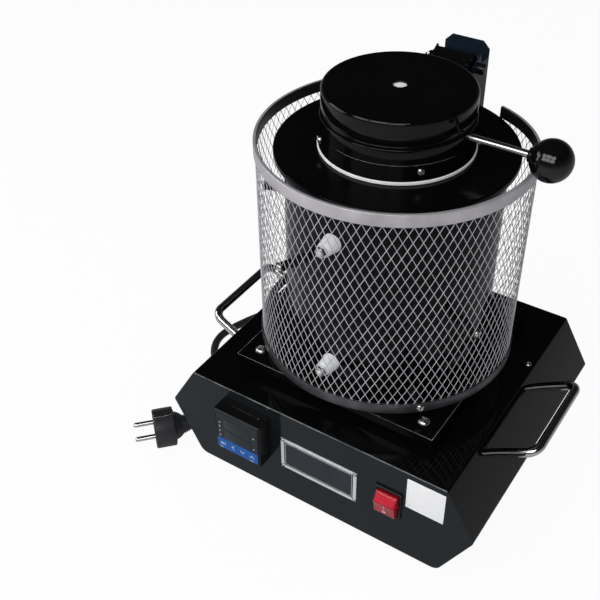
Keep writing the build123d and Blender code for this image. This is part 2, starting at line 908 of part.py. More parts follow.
def drum_shell():
    """The drum's wall with a flange turned in at its foot."""
    wall = ring(drum_radius, drum_radius - drum_sheet, platform_top, platform_top + drum_height)
    flange = ring(drum_radius, drum_radius - drum_flange, platform_top, platform_top + drum_sheet)
    shell = wall + flange
    for z in (heater_low_z, heater_high_z):
        shell -= bar((0, 0, z), outward(terminal_angle), terminal_root_radius + 0.2, 2 * drum_radius)
    shell -= probe_passage()
    for seat, out, far in spacer_places() + column_spacer_places():
        shell -= bar(seat, out, small_shank + hole_clearance, far)
    return shell


def top_disc():
    """The drum's top disc, with a rounded rim turned down and a mouth in the middle."""
    top = disc_top
    edge = disc_sheet * 1.5
    points = [(disc_mouth_radius, top - disc_sheet), (disc_mouth_radius, top), (disc_radius - edge, top)]
    points += [(disc_radius - edge * 0.3, top - edge * 0.3), (disc_radius, top - edge)]
    points += [(disc_radius, top - disc_rim), (disc_radius - disc_sheet, top - disc_rim)]
    points += [(disc_radius - disc_sheet, top - edge), (disc_radius - edge, top - disc_sheet)]
    return turned(points)


def insulation():
    """The fibre cup between the drum and the heater, with passages for what crosses it."""
    low = platform_top + drum_sheet + insulation_gap
    cup = ring(jacket_radius, 0, low, platform_top + drum_height - insulation_gap)
    cup -= ring(jacket_bore, 0, platform_top + bottom_insulation, platform_top + drum_height)
    lead = outward(terminal_angle)
    for z in (heater_low_z, heater_high_z):
        cup -= bar((0, 0, z), lead, terminal_root_radius + insulation_gap, 2 * drum_radius)
    cup -= probe_passage()
    for seat, out, _ in spacer_places() + column_spacer_places():
        start = tuple(s + o * (drum_radius - spacer_screw_length) for s, o in zip(seat, out))
        cup -= bar(start, out, small_shank + 0.4, spacer_screw_length)
    return cup


def make_drum():
    """The drum, its lining, the muffle, the heater and the mouth."""
    save("drum_shell", drum_shell())
    save("top_disc", top_disc())
    save("insulation_jacket", insulation())
    floor_low = platform_top + bottom_insulation
    save("chamber_floor", ring(muffle_radius, 0, floor_low, muffle_bottom))
    save("ceramic_muffle", ring(muffle_radius, chamber_radius, muffle_bottom, collar_top))
    winding, path = heater_winding()
    save("heating_coil", winding)
    print("heating coil gap", round(least_self_gap(path, wire_radius, 12 * heater_wire), 2))
    save("terminal_insulators", *[terminal_bush(z) for z in (heater_low_z, heater_high_z)])
    metal = [piece for z in (heater_low_z, heater_high_z) for piece in terminal_metal(z)]
    save("terminal_bolts", *metal)
    out = outward(probe_angle)
    reach = drum_radius + probe_head_length
    start = at_angle(probe_angle, muffle_radius, probe_z)
    probe = bar(start, out, probe_radius, reach - muffle_radius)
    head_start = at_angle(probe_angle, drum_radius + 0.2, probe_z)
    probe += bar(head_start, out, probe_head_radius, probe_head_length)
    save("temperature_probe", probe)
    make_mouth()


def collar_screw_places():
    """Seats of the collar's screws, each with the direction out."""
    z = gasket_top + collar_screw_height
    angles = [45 + 360 / collar_screw_count * index for index in range(collar_screw_count)]
    return [(at_angle(angle, collar_radius, z), outward(angle)) for angle in angles]


def make_mouth():
    """The gasket, the collar with its screws and the fibre ring inside it."""
    bore = muffle_radius + mouth_gap
    save("collar_gasket", ring(gasket_radius, disc_mouth_radius, disc_top, gasket_top))
    inner = collar_radius - collar_sheet
    collar = ring(collar_radius, inner, gasket_top, collar_top)
    fibre = ring(inner - sheet_fit, bore, gasket_top, collar_top)
    screws = []
    for seat, out in collar_screw_places():
        inward = tuple(-c for c in out)
        cut = bar(seat, inward, small_shank + hole_clearance, collar_screw_length)
        collar -= cut
        fibre -= cut
        length = collar_screw_length - 0.5
        screws.append(domed_screw(seat, out, small_head_radius, small_head_height, small_shank, length))
    save("collar_ring", collar)
    save("mouth_insulation", fibre)
    save("collar_screws", *screws)


# ---------------------------------------------------------------- guard
def guard_plan(radius, sheet):
    """The guard's plan, open at the rear, its right end drawn in towards the drum."""
    shift = guard_right_shift
    main = ring_sector((0, 0), radius, sheet, guard_left_end, 0)
    drawn = ring_sector((shift, 0), radius - shift, sheet, 0, guard_right_end)
    return main + drawn


def ring_sector(centre, radius, sheet, start, end):
    """A thin ring's sector between two angles."""
    size = end - start
    outer = CenterArc(centre, radius, start, size)
    inner = CenterArc(centre, radius - sheet, start, size)
    sides = [Line(outer @ 1, inner @ 1), Line(inner @ 0, outer @ 0)]
    return make_face([outer.edge(), sides[0].edge(), inner.edge(), sides[1].edge()])


def diamond_cutter(centre, radius, angle, z, up, down):
    """A diamond prism across the guard's sheet, or half of one at a band."""
    half_width = (guard_column_pitch - guard_strand) / 2
    points = [(half_width, 0), (0, up), (-half_width, 0), (0, -down)]
    points = [point for index, point in enumerate(points) if index % 2 == 0 or abs(point[1]) > 0]
    out = outward(angle)
    origin = (centre[0] + radius * out[0], centre[1] + radius * out[1], z)
    plane = Plane(origin=origin, x_dir=(-out[1], out[0], 0), z_dir=out)
    return extrude(plane * make_face(Polyline(*points, close=True)), amount=2, both=True)


def guard_mesh():
    """The guard's sheet with its staggered diamonds between the two bands."""
    sheet = extrude(guard_plan(mesh_radius, guard_mesh_sheet), amount=guard_height)
    sheet = Pos(0, 0, guard_bottom) * sheet
    low = guard_bottom + guard_bottom_band + guard_strand
    high = guard_top - guard_top_band - guard_strand
    row_pitch = (high - low) / guard_row_count
    half_height = (row_pitch - guard_strand * row_pitch / guard_column_pitch) / 2
    shift = guard_right_shift
    stretches = [
        ((0, 0), mesh_radius, guard_left_end, 0),
        ((shift, 0), mesh_radius - shift, 0, guard_right_end),
    ]
    cutters = []
    for centre, radius, start, end in stretches:
        length = radians(end - start) * radius
        columns = int(length / (guard_column_pitch / 2)) - 1
        step = degrees(length / (columns + 1) / radius)
        for column in range(columns):
            angle = start + step * (column + 1)
            staggered = column % 2 == 1
            for row in range(guard_row_count + staggered):
                z = low + row_pitch * (row if staggered else row + 0.5)
                up = 0 if staggered and row == guard_row_count else half_height
                down = 0 if staggered and row == 0 else half_height
                cutters.append(diamond_cutter(centre, radius, angle, z, up, down))
    pads = [sheet & bar(seat, out, spacer_pad_radius, guard_radius) for seat, out, _ in spacer_places()]
    return spacer_holes(sheet - cutters + pads)


def spacer_holes(sheet):
    """The sheet with a hole for each guard spacer's screw."""
    for seat, out, _ in spacer_places():
        sheet -= bar(seat, out, small_shank + hole_clearance, guard_radius + 1)
    return sheet


def spacer(seat, out, far_radius):
    """A spacer tube from the drum's wall to far_radius."""
    start = tuple(s + o * (drum_radius - 2) for s, o in zip(seat, out))
    tube = bar(start, out, spacer_radius, far_radius - drum_radius + 2, spacer_bore)
    return tube - ring(drum_radius, 0, platform_top, disc_top)


def spacer_screw(seat, out, far_radius):
    """A spacer's screw, from its head at far_radius to just inside the drum's wall."""
    head_seat = tuple(s + o * far_radius for s, o in zip(seat, out))
    length = far_radius - drum_radius + drum_sheet + 1
    return domed_screw(head_seat, out, spacer_head_radius, small_head_height, small_shank, length)


def make_guard():
    """The guard, its bands, and the spacers and screws that hold it and the column."""
    save("guard_mesh", guard_mesh())
    plan = guard_plan(guard_radius, guard_band_sheet)
    band = Pos(0, 0, guard_bottom) * extrude(plan, amount=guard_bottom_band)
    save("guard_bottom_band", spacer_holes(band))
    save("guard_top_band", Pos(0, 0, guard_top - guard_top_band) * extrude(plan, amount=guard_top_band))
    inside = mesh_radius - guard_mesh_sheet - sheet_fit
    tubes = [spacer(seat, out, inside) for seat, out, _ in spacer_places()]
    tubes += [spacer(seat, out, stop_face_y) for seat, out, _ in column_spacer_places()]
    screws = [spacer_screw(*place) for place in spacer_places() + column_spacer_places()]
    for x, y, z in column_foot_places():
        head_seat = (x, y, z + column_sheet)
        length = column_sheet + case_sheet + 3
        screws.append(domed_screw(head_seat, UP, small_head_radius, small_head_height, small_shank, length))
    save("spacer_tubes", *tubes)
    save("spacer_screws", *screws)


# ---------------------------------------------------------------- hinge and lid
def column_side(x0):
    """One side of the hinge column, with the ear that holds the hinge bolt."""
    ear_front = hinge_y - column_ear_radius
    peak = hinge_z + column_ear_peak
    shoulder = hinge_z + column_ear_shoulder
    points = [
        (stop_face_y, case_top),
        (column_front_y, case_top),
        (column_front_y, hinge_z - column_ear_drop - column_ear_radius),
        (ear_front, hinge_z - column_ear_drop / 2),
        (ear_front, hinge_z + column_ear_radius / 3),
        (hinge_y + column_ear_radius * 0.7, peak),
        (hinge_y + column_ear_radius, shoulder),
        (stop_face_y, shoulder),
    ]
    plane = Plane(origin=(x0, 0, 0), x_dir=(0, 1, 0), z_dir=(1, 0, 0))
    side = extrude(plane * make_face(Polyline(*points, close=True)), amount=column_sheet)
    hole = bar((x0 - 1, hinge_y, hinge_z), (1, 0, 0), hinge_bolt_radius + hinge_clearance, column_sheet + 2)
    return side - hole


def hinge_column():
    """The folded column behind the drum: web with the stop plate at its top, sides and foot."""
    half = column_width / 2
    web = block(-half, half, stop_face_y, column_rear_y, case_top, stop_top)
    corners = web.edges().filter_by(Axis.Y).group_by(Axis.Z)[-1]
    web = chamfer(corners, stop_corner)
    top = case_top + column_sheet
    foot_plate = block(-column_inner, column_inner, column_front_y, stop_face_y, case_top, top)
    column = web + foot_plate + column_side(-half) + column_side(half - column_sheet)
    for seat, out, far in column_spacer_places():
        column -= bar(seat, out, small_shank + hole_clearance, far + 1)
    for seat in column_foot_places():
        column -= bar(seat, UP, small_shank + hole_clearance, column_sheet + 1)
    return column


def hinge_arm():
    """The folded arm from the lid's wall to its barrel on the hinge bolt."""
    low = hinge_z - arm_drop
    high = hinge_z + arm_rise
    rear = hinge_y + arm_barrel_radius
    outer = block(-arm_half_width, arm_half_width, 0, rear, low, high)
    rear_edges = outer.edges().filter_by(Axis.X).group_by(Axis.Y)[-1]
    outer = fillet(rear_edges, arm_barrel_radius * 0.9)
    inner_half = arm_half_width - arm_sheet
    outer -= block(-inner_half, inner_half, 0, rear - arm_sheet - 2, low - 1, high - arm_sheet)
    outer += bar((-arm_half_width, hinge_y, hinge_z), (1, 0, 0), arm_barrel_radius, 2 * arm_half_width)
    outer -= ring(lid_band_radius, 0, low - 1, high + 1)
    bore = hinge_bolt_radius + hinge_clearance
    return outer - bar((-arm_half_width - 1, hinge_y, hinge_z), (1, 0, 0), bore, 2 * arm_half_width + 2)


def lid_shell():
    """The lid's spun shell: band, groove, upper wall and flat top with a sight hole."""
    band = lid_bottom + lid_band_height
    groove = band + lid_groove_slope
    wall = groove + lid_groove_height
    upper = wall + lid_groove_slope
    outside = [(lid_band_radius, lid_bottom), (lid_band_radius, band), (lid_groove_radius, groove)]
    outside += [(lid_groove_radius, wall), (lid_radius, upper), (lid_radius, lid_top)]
    inside_top = lid_top - lid_sheet
    inside = [(lid_sight_radius, lid_top), (lid_sight_radius, inside_top)]
    inside += [(lid_radius - lid_sheet, inside_top), (lid_radius - lid_sheet, upper + 1)]
    inside += [(lid_groove_radius - lid_sheet, wall + 1)]
    inside += [(lid_groove_radius - lid_sheet, groove - 1), (lid_band_radius - lid_sheet, band - 1)]
    inside += [(lid_band_radius - lid_sheet, lid_bottom)]
    shell = turned(outside + inside)
    rim = [
        edge
        for edge in shell.edges().filter_by(GeomType.CIRCLE)
        if abs(edge.arc_center.Z - lid_top) < 0.01 and abs(edge.radius - lid_radius) < 0.01
    ]
    shell = fillet(rim, min(lid_edge, lid_sheet * 2.5))
    root = lid_radius - lid_sheet - 1
    return shell - bar((root, 0, lid_rod_z()), (1, 0, 0), lid_rod_radius + 0.05, lid_sheet * 4)


def lid_rod_z():
    """The height of the lid's handle rod."""
    return lid_bottom + lid_rod_height


def lid_fill():
    """The fibre block that fills the lid, flush with its rim."""
    band = lid_bottom + lid_band_height - 1 - lid_fill_gap
    neck = lid_groove_radius - lid_sheet - lid_fill_gap
    wide = lid_band_radius - lid_sheet - lid_fill_gap
    top = lid_top - lid_sheet - 2.5 * lid_sheet
    points = [(0, lid_bottom), (wide, lid_bottom), (wide, band), (neck, band + lid_groove_slope)]
    points += [(neck, top), (lid_sight_radius + 14, lid_top - lid_sheet), (0, lid_top - lid_sheet)]
    fill = turned(points)
    start = lid_radius - lid_rod_root - 0.3
    return fill - bar((start, 0, lid_rod_z()), (1, 0, 0), lid_rod_radius + 0.3, lid_rod_root * 2)


def make_hinge_and_lid():
    """The hinge and everything that swings with the lid."""
    save("hinge_column", hinge_column())
    half = column_width / 2
    tip = (-hinge_bolt_reach, hinge_y, hinge_z)
    shank = bar(tip, (1, 0, 0), hinge_bolt_radius, hinge_bolt_reach + half)
    head = bar((half, hinge_y, hinge_z), (1, 0, 0), hinge_head_radius, hinge_head_length)
    save("hinge_bolt", shank + fillet(head.edges().filter_by(GeomType.CIRCLE).sort_by(Axis.X)[-1], 1.2))
    nut_seat = (-half, hinge_y, hinge_z)
    bore = hinge_bolt_radius + 0.02
    save("hinge_nut", hex_nut(nut_seat, (-1, 0, 0), hinge_head_radius + 0.6, hinge_nut_length, bore))
    save("lid_shell", lid_shell())
    save("lid_insulation", lid_fill())
    save("lid_hinge_arm", hinge_arm())
    z = lid_rod_z()
    start = lid_radius - lid_rod_root
    ball_x = lid_radius + lid_rod_reach
    rod = bar((start, 0, z), (1, 0, 0), lid_rod_radius, ball_x - ball_bite - start + 8)
    save("lid_handle_rod", rod)
    ball = Pos(ball_x, 0, z) * Sphere(ball_radius)
    ball -= block(ball_x - 2 * ball_radius, ball_x - ball_radius + 0.8, -20, 20, z - 20, z + 20)
    ball -= bar((0, 0, z), (1, 0, 0), lid_rod_radius + 0.02, ball_x - ball_bite + 8.2)
    save("lid_ball_knob", ball)


# ---------------------------------------------------------------- electrics
def make_electrics():
    """The relay that switches the heater and the block that joins the wires."""
    z = floor_plate_top
    sink = Pos(relay_x, relay_y, z) * Box(relay_width + 12, relay_length, sink_height, align=ON_BASE)
    save("relay_heat_sink", sink)
    top = Pos(relay_x, relay_y, z + sink_height)
    body = top * Box(relay_width, relay_length, relay_height, align=ON_BASE)
    save("heater_relay", chamfer(body.edges().filter_by(Axis.Z), 3))
    strip = Pos(block_x, block_y, z) * Box(block_length, block_width, block_height, align=ON_BASE)
    for index in range(5):
        x = block_x + (index - 2) * block_length / 5.4
        strip -= bar((x, block_y, z + block_height + 1), (0, 0, -1), 3.2, 9)
    save("wire_terminal_block", strip)


# ---------------------------------------------------------------- cord
def routed_tube(points, radius, name):
    """A tube of straight runs joined by the largest arcs that the runs allow."""
    points = [Vector(*point) for point in points]
    radii = []
    for before, here, after in zip(points, points[1:], points[2:]):
        turn = (here - before).get_angle(after - here)
        shorter = min((here - before).length, (after - here).length)
        radii.append(0.45 * shorter / tan(radians(turn) / 2))
    path = FilletPolyline(*points, radius=radii)
    section = Plane(origin=path @ 0, z_dir=path % 0) * Circle(radius)
    tube = sweep(section, path=path)
    share = tube.volume / (pi * radius * radius * path.length)
    print(name, "radii", [round(r, 1) for r in radii])
    print(name, "length", round(path.length, 1), "share of section times length", round(share, 4))
    return tube


def cord_coil():
    """The cord's coil: it spirals in along the floor, climbs a layer and spirals out on top."""
    step = 90.0
    count = round(coil_turns * 360 / step)
    half = count / 2
    points = []
    ways = []
    for index in range(count + 1):
        angle = 270 + index * step
        inward = 1 - abs(index - half) / half
        radius = coil_mean_radius + coil_swing - 2 * coil_swing * inward
        climb = min(max((index - half + 1) / 2, 0), 1)
        out = outward(angle)
        slope = -1 if index < half else 1
        level = index in (0, count) or abs(index - half) < 0.6
        drift = 0 if level else slope * coil_pitch / (2 * pi)
        rise = coil_layer / pi if 0 < climb < 1 else 0
        x = coil_centre_x + radius * out[0]
        y = coil_centre_y + radius * out[1]
        points.append((x, y, cord_radius + coil_layer * climb))
        ways.append((-out[1] * radius + out[0] * drift, out[0] * radius + out[1] * drift, rise))
    tube, path = wound_tube(points, ways, cord_radius, coil_stub)
    gap = least_self_gap(path, cord_radius, 14 * cord_radius)
    print("cord coil gap", round(gap, 2), "length", round(path.length, 1))
    return tube, path


def gland():
    """The cord's gland through the rear panel: inner nut, thread, collar and dome."""
    place = (gland_x, rear_y, gland_z)
    out = (0, 1, 0)
    inside = tuple(p - o * (case_sheet + gland_nut_length) for p, o in zip(place, out))
    body = bar(inside, out, gland_thread_radius, case_sheet + gland_nut_length)
    body += hex_nut(inside, out, gland_collar_radius, gland_nut_length, gland_thread_radius - 0.5)
    body += bar(place, out, gland_collar_radius, gland_collar_length)
    dome_start = (gland_x, rear_y + gland_collar_length, gland_z)
    body += bar(dome_start, out, gland_dome_radius, gland_reach - gland_collar_length)
    return body


def plug_frame():
    """The plug's own plane: origin on its face, Z along its axis to the cord, X level."""
    way = (cos(radians(plug_heading)), sin(radians(plug_heading)), 0)
    origin = (plug_face[0], plug_face[1], plug_radius)
    return Plane(origin=origin, x_dir=(-way[1], way[0], 0), z_dir=way)


def plug_body():
    """The round plug with a groove for each earth strip and a tapered tail."""
    length = plug_disc_length
    end = length + plug_tail_length
    points = [(0, 0), (plug_radius - 1.2, 0), (plug_radius, 1.2), (plug_radius, length - 1.0)]
    points += [(plug_shoulder_radius, length + 0.6), (plug_tail_radius, end), (0, end)]
    body = revolve(Plane.XZ * make_face(Polyline(*points, close=True)), Axis.Z, 360)
    for side in (-1, 1):
        groove = Pos(0, side * (plug_radius - plug_groove_depth / 2), length / 2)
        body -= groove * Box(plug_groove_width, plug_groove_depth, length + 4)
    for side in (-1, 1):
        body -= Pos(side * plug_pin_spacing / 2, 0, 0) * Cylinder(plug_pin_radius, 8, align=ON_BASE)
    return plug_frame() * body


def plug_metal():
    """The two pins and the two earth strips."""
    pieces = []
    for side in (-1, 1):
        pin = Pos(side * plug_pin_spacing / 2, 0, -plug_pin_length) * Cylinder(
            plug_pin_radius, plug_pin_length + 8, align=ON_BASE
        )
        tip = pin.edges().filter_by(GeomType.CIRCLE).sort_by(Axis.Z)[0]
        pieces.append(fillet(tip, plug_pin_radius * 0.7))
    for side in (-1, 1):
        y = side * (plug_radius - plug_groove_depth + plug_clip_sheet / 2)
        strip = Pos(0, y, plug_disc_length / 2) * Box(
            plug_groove_width * 0.55, plug_clip_sheet, plug_disc_length - 2
        )
        pieces.append(strip)
    return [plug_frame() * piece for piece in pieces]


def make_cord():
    """The gland, the strain relief, the cord's three stretches and the plug."""
    save("cord_gland", gland())
    relief = [(0, 0), (relief_root_radius, 0), (relief_tip_radius, relief_length), (0, relief_length)]
    save("cord_strain_relief", turned(relief, (gland_x, cord_exit_y, gland_z), (0, 1, 0)))
    coil, coil_path = cord_coil()
    save("cord_coil", coil)
    low = coil_path @ 0
    high = coil_path @ 1
    exit_route = [(gland_x, cord_start_y, gland_z), (gland_x, cord_start_y + exit_run, gland_z)]
    exit_route += [(high.X, high.Y - exit_run, high.Z), (high.X, high.Y, high.Z)]
    save("cord_exit_stretch", routed_tube(exit_route, cord_radius, "exit stretch"))
    tail = plug_frame().origin + plug_frame().z_dir * (plug_disc_length + plug_tail_length)
    after_tail = tail + plug_frame().z_dir * plug_run
    route = [tuple(tail), tuple(after_tail), *front_route]
    route += [(low.X - front_last_run, low.Y, low.Z), tuple(low)]
    save("cord_front_stretch", routed_tube(route, cord_radius, "front stretch"))
    save("plug_body", plug_body())
    save("plug_pins", *plug_metal())


os.makedirs("parts", exist_ok=True)
make_case()
make_controls()
make_platform()
make_drum()
make_guard()
make_hinge_and_lid()
make_electrics()
make_cord()
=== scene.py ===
import json
from math import asin, cos, hypot, pi, radians, sin

import bmesh
import bpy
from bpy.props import FloatProperty, FloatVectorProperty, IntProperty, PointerProperty
from bpy.types import Operator, Panel, PropertyGroup
from mathutils import Matrix, Vector

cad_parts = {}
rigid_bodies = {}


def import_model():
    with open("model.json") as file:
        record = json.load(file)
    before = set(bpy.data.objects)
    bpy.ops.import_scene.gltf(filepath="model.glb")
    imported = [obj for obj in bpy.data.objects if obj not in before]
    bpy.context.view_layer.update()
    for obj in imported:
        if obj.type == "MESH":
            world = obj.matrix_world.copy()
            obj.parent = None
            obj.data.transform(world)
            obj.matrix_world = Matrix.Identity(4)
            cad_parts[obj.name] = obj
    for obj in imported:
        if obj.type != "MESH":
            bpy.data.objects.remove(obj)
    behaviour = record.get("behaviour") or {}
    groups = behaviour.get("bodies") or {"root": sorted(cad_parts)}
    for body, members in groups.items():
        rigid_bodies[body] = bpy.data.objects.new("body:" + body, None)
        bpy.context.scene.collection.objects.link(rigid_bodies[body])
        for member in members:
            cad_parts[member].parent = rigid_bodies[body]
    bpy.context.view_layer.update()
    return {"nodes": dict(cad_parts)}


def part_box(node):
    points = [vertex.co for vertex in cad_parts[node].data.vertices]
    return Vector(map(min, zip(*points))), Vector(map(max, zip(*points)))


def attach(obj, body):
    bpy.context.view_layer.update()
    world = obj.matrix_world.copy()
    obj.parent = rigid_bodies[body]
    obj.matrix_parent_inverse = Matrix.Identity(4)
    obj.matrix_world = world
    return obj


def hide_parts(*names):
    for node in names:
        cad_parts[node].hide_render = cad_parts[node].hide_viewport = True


bl_info = {
    "name": "Gold melting furnace",
    "version": (1, 0, 0),
    "blender": (4, 5, 0),
    "location": "3D View > Sidebar > Furnace",
    "description": "Dresses the packed bench melting furnace: enamel, guard, controls, lid, cord and stage",
    "category": "Object",
}

# Every length is in metres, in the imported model's own frame. -Y is the panel with the controls.
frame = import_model()
for packed in bpy.data.materials:
    packed.name = "packed_" + packed.name
UP = Vector((0, 0, 1))
FRONT = Vector((0, -1, 0))
REAR = Vector((0, 1, 0))
RIGHT = Vector((1, 0, 0))

CASE_LOW, CASE_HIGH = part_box("case_cover")
PANEL_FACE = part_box("case_front_panel")[0].y
REAR_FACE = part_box("case_rear_panel")[1].y
DRUM_LOW, DRUM_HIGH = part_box("drum_shell")
DISC_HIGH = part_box("top_disc")[1]
COLLAR_LOW, COLLAR_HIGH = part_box("collar_ring")
LID_LOW, LID_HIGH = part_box("lid_shell")
BAND_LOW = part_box("guard_bottom_band")[0].z
BAND_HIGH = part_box("guard_top_band")[1].z
HINGE = Vector((0.0, 0.0957, 0.3507))
COLUMN_FACE, COLUMN_BACK = 0.0985, 0.1165  # the hinge column's front and back

# The case's right edges seen from the front: the hem over the bench, the waist and the shoulder
HEM = Vector((0.1235, 0, CASE_LOW.z))
WAIST = Vector((0.152, 0, CASE_LOW.z + 0.055))
SHOULDER = Vector((0.125, 0, CASE_HIGH.z))

# Screws, by the head's radius and height and the shank's radius
SMALL_SCREW = (0.0029, 0.002, 0.0015)
GUARD_SCREW = (0.0034, 0.002, 0.0015)
TRAY_SCREW = (0.0053, 0.0032, 0.0025)
TRAY_NUT_DROP = 0.0052  # from the case's top down to the foot of a tray screw's nut

# The cord's route, from the gland's face to the coil and from the coil to the plug
GLAND_FACE = (-0.110, 0.1411, 0.026)
EXIT_ROUTE = (
    (-0.110, 0.1611, 0.026),
    (-0.110, 0.1861, 0.026),
    (-0.110, 0.210, 0.0127),
    (-0.110, 0.235, 0.0127),
)
COIL_CENTRE = (-0.06175, 0.243)
COIL_TURNS = 3.75
COIL_POINTS_PER_TURN = 12
FRONT_ROUTE = (
    (-0.06975, 0.19475, 0.004),
    (-0.10725, 0.19475, 0.004),
    (-0.1410, 0.1660, 0.004),
    (-0.1680, 0.1310, 0.004),
    (-0.1920, 0.0920, 0.004),
    (-0.2120, 0.0470, 0.004),
    (-0.2170, 0.0180, 0.004),
    (-0.2000, -0.0095, 0.004),
    (-0.1740, -0.0215, 0.004),
    (-0.1490, -0.0295, 0.004),
    (-0.1335, -0.0490, 0.009),
    (-0.1325, -0.0740, 0.0155),
)
PLUG_FACE = Vector((-0.176, -0.1325, 0.019))
PLUG_WAY = Vector((cos(radians(47)), sin(radians(47)), 0))


def length(name, description, default):
    """A property for a size in metres."""
    return FloatProperty(
        name=name, description=description, default=default, min=0, unit="LENGTH", subtype="DISTANCE",
        precision=5,
    )


def colour(name, description, default):
    """A property for a finish's colour."""
    return FloatVectorProperty(
        name=name, description=description, default=default, size=3, min=0, max=1, subtype="COLOR"
    )


def turn(name, description, default):
    """A property for an angle, whose default is given in degrees."""
    return FloatProperty(
        name=name, description=description, default=radians(default), subtype="ANGLE", unit="ROTATION"
    )


def number(name, description, default):
    """A property for a number of like parts."""
    return IntProperty(name=name, description=description, default=default, min=1)


# ---------------------------------------------------------------- settings
class StageSettings(PropertyGroup):
    azimuth: turn("Azimuth", "The camera's direction round the furnace", 34.02)
    elevation: turn("Elevation", "The camera's height above the horizon", 39.04)
    roll: turn("Roll", "The camera's lean", -1.01)
    distance: length("Distance", "From the camera to its target", 0.8004)
    target: FloatVectorProperty(
        name="Target", description="The point the camera looks at", default=(-0.0458, -0.0700, 0.1932),
        subtype="XYZ", unit="LENGTH",
    )
    lens: FloatProperty(name="Lens", description="Focal length on a 36 mm sensor", default=57.6, min=1)
    window_power: FloatProperty(
        name="Window lamps", description="Power of the window's panes together", default=17.0, min=0
    )
    window_columns: number("Window columns", "Panes across the window", 3)
    window_rows: number("Window rows", "Panes up the window", 2)
    pane_width: length("Pane width", "Width of one pane of the window", 0.58)
    pane_height: length("Pane height", "Height of one pane of the window", 0.42)
    fill_power: FloatProperty(name="Fill lamp", description="Power of the lamp on the left", default=5.0, min=0)
    floor_colour: colour("Floor", "The floor as the furnace's gloss sees it", (0.46, 0.46, 0.49))


class FinishSettings(PropertyGroup):
    enamel: colour("Enamel", "Gloss enamel on the case, drum, disc and lid", (0.0016, 0.0016, 0.0018))
    panel: colour("Panel", "Smooth paint on the end panels", (0.0048, 0.0085, 0.0095))
    steel: colour("Steel", "Zinc-plated fasteners and tubes", (0.62, 0.62, 0.61))
    mesh: colour("Guard net", "The net's light grey strands", (0.70, 0.70, 0.73))
    # Painted highlight: the light tone of the thin lines along the cover's front edge and the tray's lip
    worn: colour("Worn edge", "Bare steel where the enamel is thin on an edge", (0.42, 0.42, 0.43))
    # Painted shade: the net's strands on the side to the drum are darkened in colour
    net_inside: colour("Net, inside", "The net's strands on the side to the drum", (0.10, 0.10, 0.11))
    band: colour("Top band", "The band round the net's top", (0.66, 0.64, 0.67))
    # Painted shade: the top band's side to the drum is darkened in colour
    band_inside: colour("Top band, inside", "The top band on the side to the drum", (0.018, 0.018, 0.021))
    dark_band: colour("Foot band", "The band round the net's foot", (0.13, 0.13, 0.138))
    fibre: colour("Fibre", "Pressed ceramic fibre", (0.86, 0.86, 0.85))
    rubber: colour("Rubber", "The cord's sheath and the feet", (0.012, 0.012, 0.013))
    key_strip: colour("Key strip", "The strip behind the keys", (0.007, 0.105, 0.40))
    rocker: colour("Rocker", "The switch's red rocker", (0.42, 0.006, 0.02))


class CaseSettings(PropertyGroup):
    edge: length("Edge", "Easing of the folded sheet's edges", 0.0005)
    foot_radius: length("Foot radius", "Top radius of a foot", 0.010)
    foot_height: length("Foot height", "From the bench to the case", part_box("rubber_feet")[1].z)
    bar_radius: length("Handle bar", "Radius of a handle's bar", 0.004)
    bend_radius: length("Handle bend", "Radius of a handle's bends", 0.010)
    handle_reach: length("Handle reach", "How far a handle stands off the case", 0.030)
    handle_spacing: length("Handle spacing", "Between a handle's legs", 0.094)


class ControlSettings(PropertyGroup):
    key_size: length("Key width", "Width of a key", 0.0082)
    strip_height: length("Strip height", "Height of the strip behind the keys", 0.0122)
    symbol_stroke: length("Symbol stroke", "Width of the lines on the keys", 0.0007)
    rib_count: number("Rocker ribs", "Ribs on the rocker's upper facet", 7)
    frame_width: length("Plate frame", "Raised frame of the plain plate", 0.0032)
    rivet_radius: length("Rivet radius", "Radius of a rivet's head on the plain plate", 0.0013)


class DrumSettings(PropertyGroup):
    terminal_angle: turn("Terminal angle", "Where the heater's terminals leave the drum", -92.5)
    terminal_root: length("Bush root", "Radius of a ceramic bush at the drum", 0.008)
    terminal_tip: length("Bush tip", "Radius of a ceramic bush at its end", 0.0058)
    terminal_reach: length("Bush reach", "How far a bush stands off the drum", 0.013)
    rim_radius: length("Rim radius", "Rounding of the top disc's rim", 0.0018)


class GuardSettings(PropertyGroup):
    radius: length("Guard radius", "Outer radius of the guard's bands", 0.1115)
    shift: length("Drawn-in shift", "How far the right end's arc is shifted", 0.020)
    left_end: turn("Left end", "Angle of the guard's left end", -240.0)
    right_end: turn("Right end", "Angle of the guard's right end", 71.0)
    strand_width: length("Strand width", "Width of one strand of the net", 0.00058)
    strand_sheet: length("Strand sheet", "Thickness of the net's sheet", 0.00044)
    diamond_width: length("Diamond width", "Width of one diamond", 0.00735)
    diamond_height: length("Diamond height", "Height of one diamond", 0.0136)
    top_band: length("Top band", "Height of the top band", 0.0105)
    bottom_band: length("Bottom band", "Height of the bottom band", 0.0093)
    band_sheet: length("Band sheet", "Thickness of a band", 0.0012)
    band_lining: length("Band lining", "Thickness of a band's part inside the net", 0.0005)
    band_gap: length("Band gap", "Room for the net in a folded band", 0.0013)


class LidSettings(PropertyGroup):
    radius: length("Lid radius", "Radius of the lid's upper wall", 0.0594)
    band_radius: length("Band radius", "Radius of the lid's lower band", 0.0602)
    groove_radius: length("Groove radius", "Radius in the lid's groove", 0.0576)
    edge: length("Top edge", "Rounding of the lid's top edge", 0.0035)
    rod_radius: length("Rod radius", "Radius of the handle's rod", 0.003)
    thread_depth: length("Thread depth", "Depth of the rod's thread", 0.00022)
    ball_radius: length("Ball radius", "Radius of the ball knob", 0.016)


